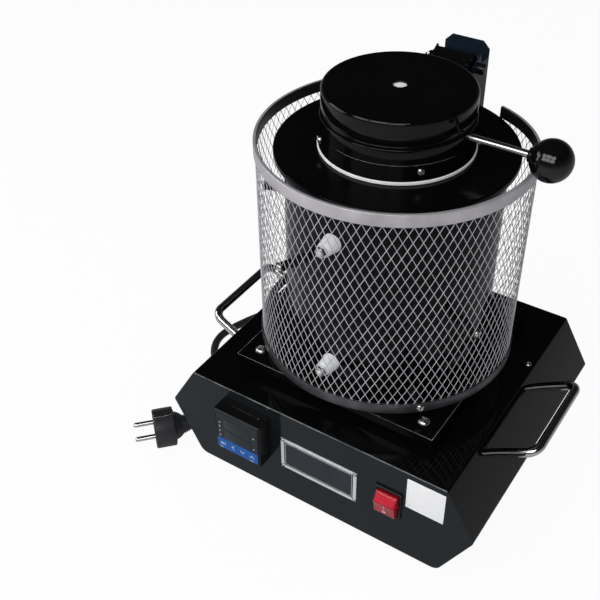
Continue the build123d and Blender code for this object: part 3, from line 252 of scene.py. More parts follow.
class CordSettings(PropertyGroup):
    radius: length("Cord radius", "Radius of the cord's sheath", 0.004)
    coil_radius: length("Coil radius", "Mean radius of the coil", 0.040)
    coil_swing: length("Coil swing", "How far the turns spread from the mean", 0.00825)
    coil_layer: length("Coil layer", "Rise from one layer to the next", 0.0087)
    length: length("Cord length", "From the gland's face to the plug's tail", 1.477)
    rib_count: number("Relief ribs", "Ribs on the strain relief", 5)


GROUPS = {
    "furnace_stage": StageSettings,
    "furnace_finish": FinishSettings,
    "furnace_case": CaseSettings,
    "furnace_controls": ControlSettings,
    "furnace_drum": DrumSettings,
    "furnace_guard": GuardSettings,
    "furnace_lid": LidSettings,
    "furnace_cord": CordSettings,
}


# ---------------------------------------------------------------- finishes
PATCH_SHARE = 0.65  # of the wide patches in a finish's variation; the rest is its fine grain
COAT_ROUGHNESS = 0.06
SUBSURFACE_SCALE = 0.002

# Each finish's tones and surface, by its name. A tone is linear RGB or the name of one of the finish settings.
FINISHES = {
    "gloss_black_enamel": dict(
        base="enamel", second=(0.0024, 0.0024, 0.0027), roughness=0.055, spread=0.03, patch=22, grain=260,
        relief=0.000008, specular=0.26,
    ),
    "dull_enamel": dict(
        base="enamel", second=(0.0024, 0.0024, 0.0027), roughness=0.15, spread=0.05, patch=22, grain=260,
        relief=0.000008, specular=0.14,
    ),
    # Painted highlight: light lines along edges that stand in for the light the edges catch
    "worn_edge": dict(
        base="worn", second=(0.06, 0.06, 0.063), metallic=0.4, roughness=0.26, spread=0.1, patch=60, grain=700,
        relief=0.00001,
    ),
    "satin_black_steel": dict(
        base=(0.004, 0.0045, 0.005), second=(0.006, 0.0065, 0.0075), roughness=0.26, spread=0.08, grain=700,
        relief=0.00003, specular=0.35,
    ),
    "charcoal_paint": dict(
        base="panel", second=(0.0065, 0.0105, 0.0115), roughness=0.13, spread=0.05, patch=18, grain=1100,
        relief=0.000012, specular=0.22,
    ),
    "zinc_steel": dict(
        base="steel", second=(0.5, 0.5, 0.48), metallic=1.0, roughness=0.24, spread=0.1, patch=300, grain=2400,
        relief=0.00001,
    ),
    "nickel_plate": dict(
        base=(0.88, 0.88, 0.90), second=(0.74, 0.74, 0.76), metallic=0.45, roughness=0.26, spread=0.08,
        patch=300, grain=2400, relief=0.00001,
    ),
    "foot_rubber": dict(base="rubber", roughness=0.62, grain=1500, relief=0.00005),
    "chromed_bar": dict(
        base=(0.72, 0.72, 0.72), second=(0.62, 0.62, 0.61), metallic=1.0, roughness=0.09, spread=0.05,
        patch=90, grain=1500, stretch=(1, 0.08, 1), relief=0.000005,
    ),
    "black_plastic": dict(
        base=(0.003, 0.003, 0.0034), second=(0.0045, 0.0045, 0.005), roughness=0.3, spread=0.07, grain=2600,
        relief=0.00002, specular=0.25,
    ),
    "display_plate": dict(
        base=(0.012, 0.017, 0.020), second=(0.015, 0.021, 0.024), roughness=0.22, grain=1800, relief=0.00001,
        specular=0.2,
    ),
    "key_blue": dict(
        base="key_strip", second=(0.006, 0.088, 0.34), roughness=0.36, grain=2200, relief=0.00002,
        specular=0.3,
    ),
    "rocker_red": dict(
        base="rocker", second=(0.34, 0.004, 0.014), roughness=0.24, grain=1200, coat=0.15, subsurface=0.08,
    ),
    "nameplate_aluminium": dict(
        base=(0.78, 0.79, 0.81), second=(0.64, 0.65, 0.67), metallic=0.35, roughness=0.36, spread=0.1,
        patch=120, grain=2000, stretch=(0.06, 1, 1), relief=0.00002,
    ),
    "label_white": dict(
        base=(0.94, 0.945, 0.945), second=(0.90, 0.905, 0.905), roughness=0.42, patch=60, grain=1400,
        relief=0.00002,
    ),
    "white_fibre": dict(
        base="fibre", second=(0.74, 0.74, 0.72), roughness=0.9, spread=0.05, patch=160, grain=1300,
        relief=0.0004,
    ),
    "fired_ceramic": dict(
        base=(0.62, 0.52, 0.42), second=(0.5, 0.40, 0.31), roughness=0.8, patch=90, grain=1000, relief=0.0002,
    ),
    "white_ceramic": dict(
        base=(0.97, 0.975, 0.99), second=(0.91, 0.92, 0.95), roughness=0.3, patch=200, grain=1100,
        relief=0.00002, coat=0.2,
    ),
    "heater_wire": dict(
        base=(0.20, 0.17, 0.15), second=(0.12, 0.10, 0.09), metallic=1.0, roughness=0.55, grain=1800,
        relief=0.00005,
    ),
    "probe_steel": dict(base=(0.55, 0.55, 0.54), metallic=1.0, roughness=0.3, grain=1600, relief=0.00002),
    "guard_mesh_steel": dict(
        base="mesh", second=(0.50, 0.50, 0.53), metallic=0.6, roughness=0.36, spread=0.1, patch=60, grain=1600,
        relief=0.00004, inner="net_inside",
    ),
    "guard_band_steel": dict(
        base="band", second=(0.46, 0.44, 0.46), metallic=0.6, roughness=0.36, spread=0.1, patch=45, grain=1500,
        stretch=(0.5, 0.5, 6), relief=0.00005, inner="band_inside",
    ),
    "dark_band_steel": dict(
        base="dark_band", second=(0.05, 0.05, 0.054), metallic=0.8, roughness=0.34, spread=0.12, patch=60,
        grain=1500, stretch=(0.5, 0.5, 6), relief=0.00005,
    ),
    "black_bolt_steel": dict(
        base=(0.016, 0.016, 0.017), second=(0.026, 0.025, 0.024), metallic=0.4, roughness=0.34, grain=1500,
        relief=0.00004,
    ),
    "bright_rod": dict(
        base=(0.70, 0.69, 0.67), second=(0.56, 0.55, 0.53), metallic=1.0, roughness=0.22, spread=0.07,
        patch=180, grain=2400, relief=0.00001,
    ),
    "knob_black": dict(
        base=(0.0022, 0.0022, 0.0026), second=(0.0035, 0.0035, 0.004), roughness=0.05, spread=0.02, patch=80,
        grain=900, relief=0.000005, specular=0.5,
    ),
    "sink_aluminium": dict(
        base=(0.66, 0.66, 0.66), metallic=1.0, roughness=0.38, grain=1500, stretch=(1, 1, 14), relief=0.00003,
    ),
    "block_white": dict(base=(0.75, 0.75, 0.71), roughness=0.45, grain=1500, relief=0.00004),
    "gland_black": dict(
        base=(0.009, 0.009, 0.010), second=(0.014, 0.014, 0.015), roughness=0.42, grain=1600, relief=0.00005,
    ),
    "cord_rubber": dict(
        base="rubber", second=(0.020, 0.020, 0.021), roughness=0.46, spread=0.08, patch=70, grain=1400,
        relief=0.00006,
    ),
    "plug_rubber": dict(
        base=(0.016, 0.017, 0.020), second=(0.024, 0.025, 0.029), roughness=0.44, spread=0.08, patch=90,
        grain=1500, relief=0.00007,
    ),
    "plated_pins": dict(
        base=(0.74, 0.74, 0.71), second=(0.62, 0.61, 0.58), metallic=1.0, roughness=0.2, patch=250, grain=1800,
        relief=0.00001,
    ),
    "plate_field": dict(
        base=(0.016, 0.021, 0.028), second=(0.011, 0.015, 0.021), roughness=0.3, spread=0.1, patch=60,
        grain=2200, stretch=(0.08, 1, 1), relief=0.00003, specular=0.3,
    ),
    "symbol_white": dict(base=(0.82, 0.84, 0.86), roughness=0.4, grain=2000),
    "hinge_blue": dict(
        base=(0.0055, 0.0100, 0.0170), second=(0.0080, 0.0140, 0.0230), roughness=0.24, spread=0.08, patch=30,
        grain=900, relief=0.00002, specular=0.14,
    ),
    # Painted light: the rocker's red made lighter where its upper facet faces the lamps; the coat is the
    # plastic's own
    "rocker_bright": dict(
        base=(0.66, 0.03, 0.06), second=(0.5, 0.014, 0.03), roughness=0.2, grain=900, coat=0.3,
        subsurface=0.15,
    ),
    "display_glass": dict(
        base=(0.015, 0.020, 0.023), second=(0.018, 0.024, 0.027), roughness=0.16, specular=0.2,
    ),
}


# ---------------------------------------------------------------- node trees
def add(tree, kind, inputs=None, **options):
    """A node with its options set and each named input linked or set."""
    made = tree.nodes.new(kind)
    for name, value in options.items():
        setattr(made, name, value)
    for name, value in (inputs or {}).items():
        if isinstance(value, bpy.types.NodeSocket):
            tree.links.new(value, made.inputs[name])
        else:
            made.inputs[name].default_value = value
    return made


def calc(tree, operation, first, second=0.0):
    """One step of arithmetic in a node tree."""
    return add(tree, "ShaderNodeMath", {0: first, 1: second}, operation=operation).outputs[0]


def tone_of(tone):
    """A finish's tone from its numbers or from the finish setting that it names."""
    return tuple(getattr(bpy.context.scene.furnace_finish, tone) if isinstance(tone, str) else tone)


def finish(
    name, base, second=None, metallic=0.0, roughness=0.4, spread=0.06, patch=35.0, grain=900.0, relief=0.0,
    stretch=(1, 1, 1), coat=0.0, specular=0.5, subsurface=0.0, inner=None,
):
    """A material whose tone, gloss and fine relief vary; inner is a darker tone painted on faces toward the
    axis as painted shade.
    """
    base = tone_of(base)
    second = tone_of(second) if second else tuple(c * 0.8 for c in base)
    material = bpy.data.materials.new(name)
    material.use_nodes = True
    material.diffuse_color = (*base, 1)
    tree = material.node_tree
    shader = tree.nodes["Principled BSDF"]
    place = add(tree, "ShaderNodeTexCoord").outputs["Object"]
    along = add(tree, "ShaderNodeMapping", {"Vector": place, "Scale": stretch}).outputs[0]
    clouds = add(tree, "ShaderNodeTexNoise", {"Vector": place, "Scale": patch, "Detail": 3.0}).outputs[0]
    grains = add(tree, "ShaderNodeTexNoise", {"Vector": along, "Scale": grain, "Detail": 2.0}).outputs[0]
    patches = calc(tree, "MULTIPLY", clouds, PATCH_SHARE)
    blend = calc(tree, "ADD", patches, calc(tree, "MULTIPLY", grains, 1 - PATCH_SHARE))
    share = add(tree, "ShaderNodeMapRange", {"Value": blend, 1: 0.35, 2: 0.65, 3: 0.0, 4: 1.0}).outputs[0]
    tone = add(tree, "ShaderNodeMix", {0: share, 6: (*base, 1), 7: (*second, 1)}, data_type="RGBA").outputs[2]
    # Painted shade: faces whose normal points toward the chamber's axis take the darker inner tone
    if inner is not None:
        out = add(tree, "ShaderNodeVectorMath", {0: place, 1: (1.0, 1.0, 0.0)}, operation="MULTIPLY").outputs[0]
        normal = add(tree, "ShaderNodeTexCoord").outputs["Normal"]
        facing = add(tree, "ShaderNodeVectorMath", {0: normal, 1: out}, operation="DOT_PRODUCT").outputs[1]
        side = calc(tree, "LESS_THAN", facing, -0.02)
        inner_shade_tone = (*tone_of(inner), 1)
        tone = add(tree, "ShaderNodeMix", {0: side, 6: tone, 7: inner_shade_tone}, data_type="RGBA").outputs[2]
    tree.links.new(tone, shader.inputs["Base Color"])
    smooth, rough = roughness - spread, roughness + spread
    gloss = add(tree, "ShaderNodeMapRange", {"Value": blend, 1: 0.3, 2: 0.7, 3: smooth, 4: rough}).outputs[0]
    tree.links.new(gloss, shader.inputs["Roughness"])
    if relief > 0:
        bump = add(tree, "ShaderNodeBump", {"Height": grains, "Strength": 0.6, "Distance": relief})
        tree.links.new(bump.outputs[0], shader.inputs["Normal"])
    shader.inputs["Metallic"].default_value = metallic
    shader.inputs["Coat Weight"].default_value = coat
    shader.inputs["Coat Roughness"].default_value = COAT_ROUGHNESS
    shader.inputs["Specular IOR Level"].default_value = specular
    shader.inputs["Subsurface Weight"].default_value = subsurface
    shader.inputs["Subsurface Scale"].default_value = SUBSURFACE_SCALE
    return material


def finish_of(name):
    """The material of a row of the table, made when it's first asked for."""
    return bpy.data.materials.get(name) or finish(name, **FINISHES[name])


# ---------------------------------------------------------------- mesh helpers
SHARP = 35.0  # degrees past which an edge stays sharp
EASED_ABOVE = 32  # degrees past which an edge is eased
MERGE = 1e-7
CAD_MERGE = 2e-6
CAD_FLAT = 0.4  # degrees within which the faces of a CAD mesh are one flat face


def place_at(origin, out, up=UP):
    """The place whose Z points along out and whose Y is as near to up as that allows."""
    z = Vector(out).normalized()
    x = Vector(up).cross(z)
    if x.length < 1e-6:
        x = RIGHT.copy()
    x.normalize()
    matrix = Matrix((x, z.cross(x), z)).transposed().to_4x4()
    matrix.translation = Vector(origin)
    return matrix


def mesh_of(points, faces, place=None, sharp=SHARP):
    """A mesh with its doubles merged, its faces outwards and its edges sharp above an angle in degrees."""
    work = bmesh.new()
    spots = [work.verts.new(point) for point in points]
    for face in faces:
        work.faces.new([spots[index] for index in face])
    return closed_mesh(work, place, sharp)


def closed_mesh(work, place=None, sharp=SHARP):
    """The mesh of a bmesh, tidied and put in its place."""
    bmesh.ops.remove_doubles(work, verts=work.verts, dist=MERGE)
    bmesh.ops.recalc_face_normals(work, faces=work.faces)
    if place is not None:
        work.transform(place)
    mesh = bpy.data.meshes.new("piece")
    work.to_mesh(mesh)
    work.free()
    mesh.shade_smooth()
    mesh.set_sharp_from_angle(angle=radians(sharp))
    return mesh


def holder_of(data):
    """A new object that holds a mesh or a curve in the scene."""
    holder = bpy.data.objects.new(data.name, data)
    bpy.context.scene.collection.objects.link(holder)
    return holder


def plain(holder):
    """The plain mesh of an object as it is shown; the object is removed."""
    bpy.context.view_layer.update()
    graph = bpy.context.evaluated_depsgraph_get()
    mesh = bpy.data.meshes.new_from_object(holder.evaluated_get(graph), depsgraph=graph)
    source = holder.data
    bpy.data.objects.remove(holder)
    discard(source)
    return mesh


def discard(data):
    """Removes a mesh or a curve that nothing uses any more."""
    if data.users == 0:
        bpy.data.batch_remove([data])


def modified(mesh, kind, options):
    """The mesh with a modifier applied, given as its kind and its options."""
    holder = holder_of(mesh)
    modifier = holder.modifiers.new(kind, kind)
    for name, value in options.items():
        setattr(modifier, name, value)
    return plain(holder)


def cut_by(mesh, cutter, crossed=False):
    """The mesh less a cutter, which may be made of shapes that cross."""
    tool = holder_of(cutter)
    options = {"operation": "DIFFERENCE", "object": tool, "solver": "EXACT", "use_self": crossed}
    result = modified(mesh, "BOOLEAN", options)
    bpy.data.objects.remove(tool)
    return result


def eased(mesh, width, segments=2):
    """The mesh with its sharp edges eased, so that they catch the light."""
    return modified(mesh, "BEVEL", {
        "width": width, "segments": segments, "limit_method": "ANGLE", "angle_limit": radians(EASED_ABOVE),
        "harden_normals": True, "use_clamp_overlap": True,
    })


def eased_copy(node, width):
    """A copy of a CAD node's mesh with its flat faces joined and its edges eased."""
    work = bmesh.new()
    work.from_mesh(frame["nodes"][node].data)
    bmesh.ops.remove_doubles(work, verts=work.verts, dist=CAD_MERGE)
    bmesh.ops.dissolve_limit(work, angle_limit=radians(CAD_FLAT), verts=work.verts, edges=work.edges)
    points = [tuple(vert.co) for vert in work.verts]
    faces = [[vert.index for vert in face.verts] for face in work.faces]
    work.free()
    mesh = bpy.data.meshes.new(node)
    mesh.from_pydata(points, [], faces)
    mesh.shade_smooth()
    return eased(mesh, width)


def joined(*meshes):
    """Several meshes as one, each keeping its own materials."""
    holders = [holder_of(mesh) for mesh in meshes]
    with bpy.context.temp_override(
        active_object=holders[0], object=holders[0], selected_objects=holders, selected_editable_objects=holders
    ):
        bpy.ops.object.join()
    mesh = holders[0].data
    bpy.data.objects.remove(holders[0])
    for data in meshes[1:]:
        discard(data)
    return mesh


def softened(corners, radius, steps=4, closed=True):
    """The corners' line with each corner rounded, by one radius or by one for each corner."""
    corners = [Vector(corner) for corner in corners]
    radii = radius if isinstance(radius, (list, tuple)) else [radius] * len(corners)
    line = []
    for index, (here, size) in enumerate(zip(corners, radii)):
        if size <= 0 or (not closed and index in (0, len(corners) - 1)):
            line.append(here)
            continue
        back = corners[index - 1] - here
        ahead = corners[(index + 1) % len(corners)] - here
        bend = pi - back.angle(ahead)
        if bend < 0.01:
            line.append(here)
            continue
        reach = min(size * sin(bend / 2) / cos(bend / 2), 0.48 * min(back.length, ahead.length))
        size = reach * cos(bend / 2) / sin(bend / 2)
        start, end = here + back.normalized() * reach, here + ahead.normalized() * reach
        centre = here + (back.normalized() + ahead.normalized()).normalized() * (size / cos(bend / 2))
        for step in range(steps + 1):
            share = step / steps
            arm = (start - centre) * sin((1 - share) * bend) + (end - centre) * sin(share * bend)
            line.append(centre + arm / sin(bend))
    return line


def loft(loops, place=None, sharp=SHARP):
    """A skin through loops of the same number of points, with its ends capped."""
    size = len(loops[0])
    points = [point for loop in loops for point in loop]
    faces = []
    for row in range(len(loops) - 1):
        here, there = row * size, (row + 1) * size
        for index in range(size):
            ahead = (index + 1) % size
            faces.append((here + index, here + ahead, there + ahead, there + index))
    faces += [tuple(range(size)), tuple(range(len(points) - size, len(points)))]
    return mesh_of(points, faces, place, sharp)


def turned(profile, place=None, sides=96, sharp=SHARP):
    """A shape turned round Z from a closed line of (radius, height) points."""
    points, rings = [], []
    for radius, height in profile:
        count = sides if radius > 1e-7 else 1
        rings.append(list(range(len(points), len(points) + count)))
        for index in range(count):
            angle = 2 * pi * index / sides
            points.append((radius * cos(angle), radius * sin(angle), height))
    faces = []
    for low, high in zip(rings, rings[1:] + rings[:1]):
        for index in range(sides):
            ahead = (index + 1) % sides
            face = [low[index % len(low)], low[ahead % len(low)]]
            face += [high[ahead % len(high)], high[index % len(high)]]
            face = list(dict.fromkeys(face))
            if len(face) > 2:
                faces.append(face)
    mesh = mesh_of(points, faces, place, sharp)
    return modified(mesh, "WEIGHTED_NORMAL", {"keep_sharp": True})


def rounded_block(low, high, radius):
    """A block between two corners with its edges rounded."""
    work = bmesh.new()
    bmesh.ops.create_cube(work, size=1)
    size = Vector(high) - Vector(low)
    middle = (Vector(high) + Vector(low)) / 2
    work.transform(Matrix.Translation(middle) @ Matrix.Diagonal((*size, 1)))
    return eased(closed_mesh(work), radius, segments=3)


def plate(outlines, depth, place, edge=0.0):
    """A flat plate with its holes, from outlines in its plane, standing depth above its place."""
    curve = bpy.data.curves.new("plate", "CURVE")
    curve.dimensions = "2D"
    curve.fill_mode = "BOTH"
    curve.extrude = depth / 2 - edge
    curve.bevel_depth = edge
    curve.offset = -edge
    curve.bevel_resolution = 1
    for outline in outlines:
        spline = curve.splines.new("POLY")
        spline.points.add(len(outline) - 1)
        for point, (x, y) in zip(spline.points, outline):
            point.co = (x, y, 0, 1)
        spline.use_cyclic_u = True
    mesh = plain(holder_of(curve))
    work = bmesh.new()
    work.from_mesh(mesh)
    return closed_mesh(work, place @ Matrix.Translation((0, 0, depth / 2)))


def rectangle(half_x, half_y, radius, centre=(0, 0)):
    """A rounded rectangle's outline."""
    x, y = centre
    signs = ((-1, -1), (1, -1), (1, 1), (-1, 1))
    return softened([(x + sx * half_x, y + sy * half_y) for sx, sy in signs], radius)


def strokes(lines, radius, place=None, height=1.0, sides=3):
    """Round bars along lines of points, flattened to a height where they are raised marks."""
    curve = bpy.data.curves.new("bars", "CURVE")
    curve.dimensions = "3D"
    curve.bevel_depth = radius
    curve.bevel_resolution = sides
    curve.use_fill_caps = True
    for line in lines:
        spline = curve.splines.new("POLY")
        spline.points.add(len(line) - 1)
        for point, spot in zip(spline.points, line):
            point.co = (*spot, *([0] * (3 - len(spot))), 1)
    mesh = plain(holder_of(curve))
    work = bmesh.new()
    work.from_mesh(mesh)
    work.transform(Matrix.Diagonal((1, 1, height, 1)))
    return closed_mesh(work, place)


def painted(mesh, look):
    """The mesh in one finish."""
    mesh.materials.clear()
    mesh.materials.append(finish_of(look))
    return mesh


def settle(name, mesh, body, slot, nodes=(), look=None):
    """A finished piece: it rides on its body and stands for its CAD nodes.

    Its finish is the one given as its look, or else what the mesh already has, or else its slot's.
    """
    if look or not mesh.materials:
        painted(mesh, look or slot)
    mesh.name = name
    piece = holder_of(mesh)
    piece.name = name
    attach(piece, body)
    if nodes:
        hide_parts(*nodes)
    return piece


def keep(look, *nodes):
    """CAD nodes whose shape stays as it is, in a procedural finish."""
    for node in nodes:
        painted(frame["nodes"][node].data, look)


# ---------------------------------------------------------------- geometry trees
def empty_tree(name, inputs):
    """A geometry tree with named inputs, its input sockets and its output node."""
    tree = bpy.data.node_groups.new(name, "GeometryNodeTree")
    tree.interface.new_socket("Geometry", in_out="INPUT", socket_type="NodeSocketGeometry")
    for label, kind, description in inputs:
        socket = tree.interface.new_socket(label, in_out="INPUT", socket_type=kind)
        socket.description = description
    tree.interface.new_socket("Geometry", in_out="OUTPUT", socket_type="NodeSocketGeometry")
    source = tree.nodes.new("NodeGroupInput").outputs
    return tree, source, tree.nodes.new("NodeGroupOutput")


def grown(mesh, tree, values):
    """The plain mesh that a geometry tree makes of a mesh, with the tree's inputs set by name."""
    holder = holder_of(mesh)
    modifier = holder.modifiers.new(tree.name, "NODES")
    modifier.node_group = tree
    for item in tree.interface.items_tree:
        if item.in_out == "INPUT" and item.name in values:
            modifier[item.identifier] = values[item.name]
    return plain(holder)


def scatter_tree():
    """Puts a template on every point, turned to the point's direction and scaled to its size."""
    name = "fastener_scatter"
    if name in bpy.data.node_groups:
        return bpy.data.node_groups[name]
    tree, source, sink = empty_tree(
        name,
        [
            ("Template", "NodeSocketObject", "The fastener that is repeated"),
            ("Finish", "NodeSocketMaterial", "The fasteners' material"),
            ("Spin", "NodeSocketFloat", "The most that a fastener is turned about its own axis"),
            ("Seed", "NodeSocketInt", "Seed of the turns"),
        ],
    )
    out = add(tree, "GeometryNodeInputNamedAttribute", {"Name": "out"}, data_type="FLOAT_VECTOR").outputs[0]
    size = add(tree, "GeometryNodeInputNamedAttribute", {"Name": "size"}, data_type="FLOAT_VECTOR").outputs[0]
    aligned = add(tree, "FunctionNodeAlignRotationToVector", {"Vector": out}, axis="Z").outputs[0]
    spin = add(tree, "FunctionNodeRandomValue", {"Seed": source["Seed"]}, data_type="FLOAT")
    tree.links.new(source["Spin"], spin.inputs[3])
    about = add(tree, "ShaderNodeCombineXYZ", {"Z": spin.outputs[1]}).outputs[0]
    about = add(tree, "FunctionNodeEulerToRotation", {0: about}).outputs[0]
    rotation = add(
        tree, "FunctionNodeRotateRotation", {"Rotation": aligned, "Rotate By": about}, rotation_space="LOCAL"
    ).outputs[0]
    template = add(tree, "GeometryNodeObjectInfo", {"Object": source["Template"]}).outputs["Geometry"]
    placed = add(
        tree,
        "GeometryNodeInstanceOnPoints",
        {"Points": source["Geometry"], "Instance": template, "Rotation": rotation, "Scale": size},
    ).outputs[0]
    real = add(tree, "GeometryNodeRealizeInstances", {"Geometry": placed}).outputs[0]
    done = add(tree, "GeometryNodeSetMaterial", {"Geometry": real, "Material": source["Finish"]}).outputs[0]
    tree.links.new(done, sink.inputs[0])
    return tree


def scattered(template, places, look, spin=0.0, seed=1):
    """One mesh of a template repeated at (origin, direction, size) places."""
    mesh = bpy.data.meshes.new("places")
    mesh.from_pydata([tuple(origin) for origin, _, _ in places], [], [])
    for label, index in (("out", 1), ("size", 2)):
        layer = mesh.attributes.new(label, "FLOAT_VECTOR", "POINT")
        layer.data.foreach_set("vector", [float(c) for place in places for c in place[index]])
    model = holder_of(template)
    values = {"Template": model, "Finish": finish_of(look), "Spin": spin, "Seed": seed}
    result = grown(mesh, scatter_tree(), values)
    bpy.data.objects.remove(model)
    for label in ("out", "size"):
        if label in result.attributes:
            result.attributes.remove(result.attributes[label])
    return result


def screw_head():
    """A domed head of unit radius and height with a cross recess."""
    crown = [(0.0, 1.0), (0.34, 0.95), (0.62, 0.81), (0.85, 0.55), (0.96, 0.26), (1.0, 0.0), (0.0, 0.0)]
    work = bmesh.new()
    middle = Matrix.Translation((0, 0, 0.95))
    for size in ((1.05, 0.2, 0.9), (0.2, 1.05, 0.9)):
        bmesh.ops.create_cube(work, size=1, matrix=middle @ Matrix.Diagonal((*size, 1)))
    return cut_by(turned(crown, sides=24, sharp=40), closed_mesh(work), crossed=True)


def shank():
    """A plain shank of unit radius and length, below its seat."""
    return turned([(0, 0), (1, 0), (1, -0.9), (0.8, -1), (0, -1)], sides=16)


def hexagon(bore=0.0):
    """A hexagon nut of unit corner radius and height with its corners eased, bored where it shows."""
    sides = [(cos(radians(60 * index)), sin(radians(60 * index))) for index in range(6)]
    loops = []
    for scale, level in ((0.90, 0.0), (1.0, 0.1), (1.0, 0.9), (0.90, 1.0)):
        loops.append([(x * scale, y * scale, level) for x, y in sides])
    outer = loft(loops, sharp=20)
    if bore <= 0:
        return outer
    return cut_by(outer, turned([(0, -1), (bore, -1), (bore, 2), (0, 2)], sides=24))


def screws(places, seed):
    """Cross-head screws at (seat, out, sizes, length) places, each head turned about its own axis."""
    heads = [(seat, out, (head, head, height)) for seat, out, (head, height, _), _ in places]
    shanks = [(seat, out, (radius, radius, reach)) for seat, out, (_, _, radius), reach in places]
    return joined(
        scattered(screw_head(), heads, "zinc_steel", spin=1.5, seed=seed),
        scattered(shank(), shanks, "zinc_steel"),
    )


def net_tree():
    """A net of crossing strands laid out flat by rows and columns, then bent round the guard's plan."""
    tree, source, sink = empty_tree(
        "guard_net",
        [
            ("Strand", "NodeSocketObject", "One strand, along X"),
            ("Cell Width", "NodeSocketFloat", "Half a diamond's width"),
            ("Cell Height", "NodeSocketFloat", "Half a diamond's height"),
            ("Columns", "NodeSocketInt", "Cells round the guard"),
            ("Rows", "NodeSocketInt", "Cells from bottom to top"),
            ("Radius", "NodeSocketFloat", "The net's middle radius"),
            ("Shift", "NodeSocketFloat", "Shift of the drawn-in arc"),
            ("Start", "NodeSocketFloat", "Angle of the left end"),
            ("Base", "NodeSocketFloat", "Height of the net's foot"),
            ("Finish", "NodeSocketMaterial", "The strands' material"),
        ],
    )
    width = calc(tree, "MULTIPLY", source["Cell Width"], source["Columns"])
    height = calc(tree, "MULTIPLY", source["Cell Height"], source["Rows"])
    cells = add(
        tree,
        "GeometryNodeMeshGrid",
        {
            "Size X": width,
            "Size Y": height,
            "Vertices X": calc(tree, "ADD", source["Columns"], 1.0),
            "Vertices Y": calc(tree, "ADD", source["Rows"], 1.0),
        },
    ).outputs[0]
    points = add(tree, "GeometryNodeMeshToPoints", {"Mesh": cells}, mode="FACES").outputs[0]
    spot = add(tree, "ShaderNodeSeparateXYZ", {0: add(tree, "GeometryNodeInputPosition").outputs[0]}).outputs
    half_width, half_height = calc(tree, "MULTIPLY", width, 0.5), calc(tree, "MULTIPLY", height, 0.5)
    column = calc(tree, "DIVIDE", calc(tree, "ADD", spot[0], half_width), source["Cell Width"])
    row = calc(tree, "DIVIDE", calc(tree, "ADD", spot[1], half_height), source["Cell Height"])
    parity = calc(tree, "MODULO", calc(tree, "ROUND", calc(tree, "ADD", column, row)), 2.0)
    sign = calc(tree, "SUBTRACT", 1.0, calc(tree, "MULTIPLY", parity, 2.0))
    slope = calc(tree, "ARCTAN2", source["Cell Height"], source["Cell Width"])
    lean = add(tree, "ShaderNodeCombineXYZ", {"Z": calc(tree, "MULTIPLY", sign, slope)}).outputs[0]
    rotation = add(tree, "FunctionNodeEulerToRotation", {0: lean}).outputs[0]
    strand = add(tree, "GeometryNodeObjectInfo", {"Object": source["Strand"]}).outputs["Geometry"]
    placed = add(
        tree, "GeometryNodeInstanceOnPoints", {"Points": points, "Instance": strand, "Rotation": rotation}
    ).outputs[0]
    real = add(tree, "GeometryNodeRealizeInstances", {"Geometry": placed}).outputs[0]

    flat = add(tree, "ShaderNodeSeparateXYZ", {0: add(tree, "GeometryNodeInputPosition").outputs[0]}).outputs
    along = calc(tree, "ADD", flat[0], half_width)
    main = calc(tree, "MULTIPLY", calc(tree, "MULTIPLY", source["Start"], -1.0), source["Radius"])
    drawn = calc(tree, "GREATER_THAN", along, main)
    shift = calc(tree, "MULTIPLY", drawn, source["Shift"])
    first = calc(tree, "DIVIDE", calc(tree, "MINIMUM", along, main), source["Radius"])
    second = calc(
        tree,
        "DIVIDE",
        calc(tree, "MAXIMUM", calc(tree, "SUBTRACT", along, main), 0.0),
        calc(tree, "SUBTRACT", source["Radius"], source["Shift"]),
    )
    angle = calc(tree, "ADD", calc(tree, "ADD", first, second), source["Start"])
    reach = calc(tree, "SUBTRACT", calc(tree, "ADD", source["Radius"], flat[2]), shift)
    x = calc(tree, "ADD", shift, calc(tree, "MULTIPLY", reach, calc(tree, "COSINE", angle)))
    y = calc(tree, "MULTIPLY", reach, calc(tree, "SINE", angle))
    z = calc(tree, "ADD", calc(tree, "ADD", flat[1], half_height), source["Base"])
    bent = add(tree, "ShaderNodeCombineXYZ", {"X": x, "Y": y, "Z": z}).outputs[0]
    moved = add(tree, "GeometryNodeSetPosition", {"Geometry": real, "Position": bent}).outputs[0]
    done = add(tree, "GeometryNodeSetMaterial", {"Geometry": moved, "Material": source["Finish"]}).outputs[0]
    tree.links.new(done, sink.inputs[0])
    return tree


# ---------------------------------------------------------------- places
def slope_place(share, side):
    """A point on the case's upper slope and the direction out of it."""
    run = SHOULDER - WAIST
    point = WAIST + run * share
    out = Vector((run.z, 0, -run.x)).normalized()
    return Vector((side * point.x, 0, point.z)), Vector((side * out.x, 0, out.z))


def guard_point(radius, angle, shift):
    """A point of the guard's plan: one arc up to the right side, then the drawn-in arc."""
    if angle <= 0:
        return Vector((radius * cos(angle), radius * sin(angle), 0))
    reach = radius - shift
    return Vector((shift + reach * cos(angle), reach * sin(angle), 0))


def around(angle, radius, height):
    """A point at an angle in degrees and a radius round the chamber's axis, and the way out."""
    out = Vector((cos(radians(angle)), sin(radians(angle)), 0))
    return out * radius + UP * height, out


# ---------------------------------------------------------------- stage
FLOOR_REACH = 4.0
PANE_GAP = 0.05
WINDOW_Y, WINDOW_Z = -1.16, 1.22  # of the window's middle
WINDOW_LEAN, WINDOW_RISE = 0.64, 0.77  # the way up the window, back and up
FILL_PLACE, FILL_SIZE = (-1.35, -0.55, 0.75), (0.8, 0.8)
LAMPS_AIM = Vector((0, 0, 0.2))
GLOW, GLOW_SHARE = 1.05, 0.9  # the floor's own light and its share to the camera
GLOSSY_GLOW = 0.1  # the share of it that the furnace's gloss sees
ROOM_HORIZON, ROOM_OVERHEAD = 0.6, 0.42  # the room's light
GLOSSY_HORIZON, GLOSSY_OVERHEAD = 0.14, 0.012  # the room as the furnace's gloss sees it


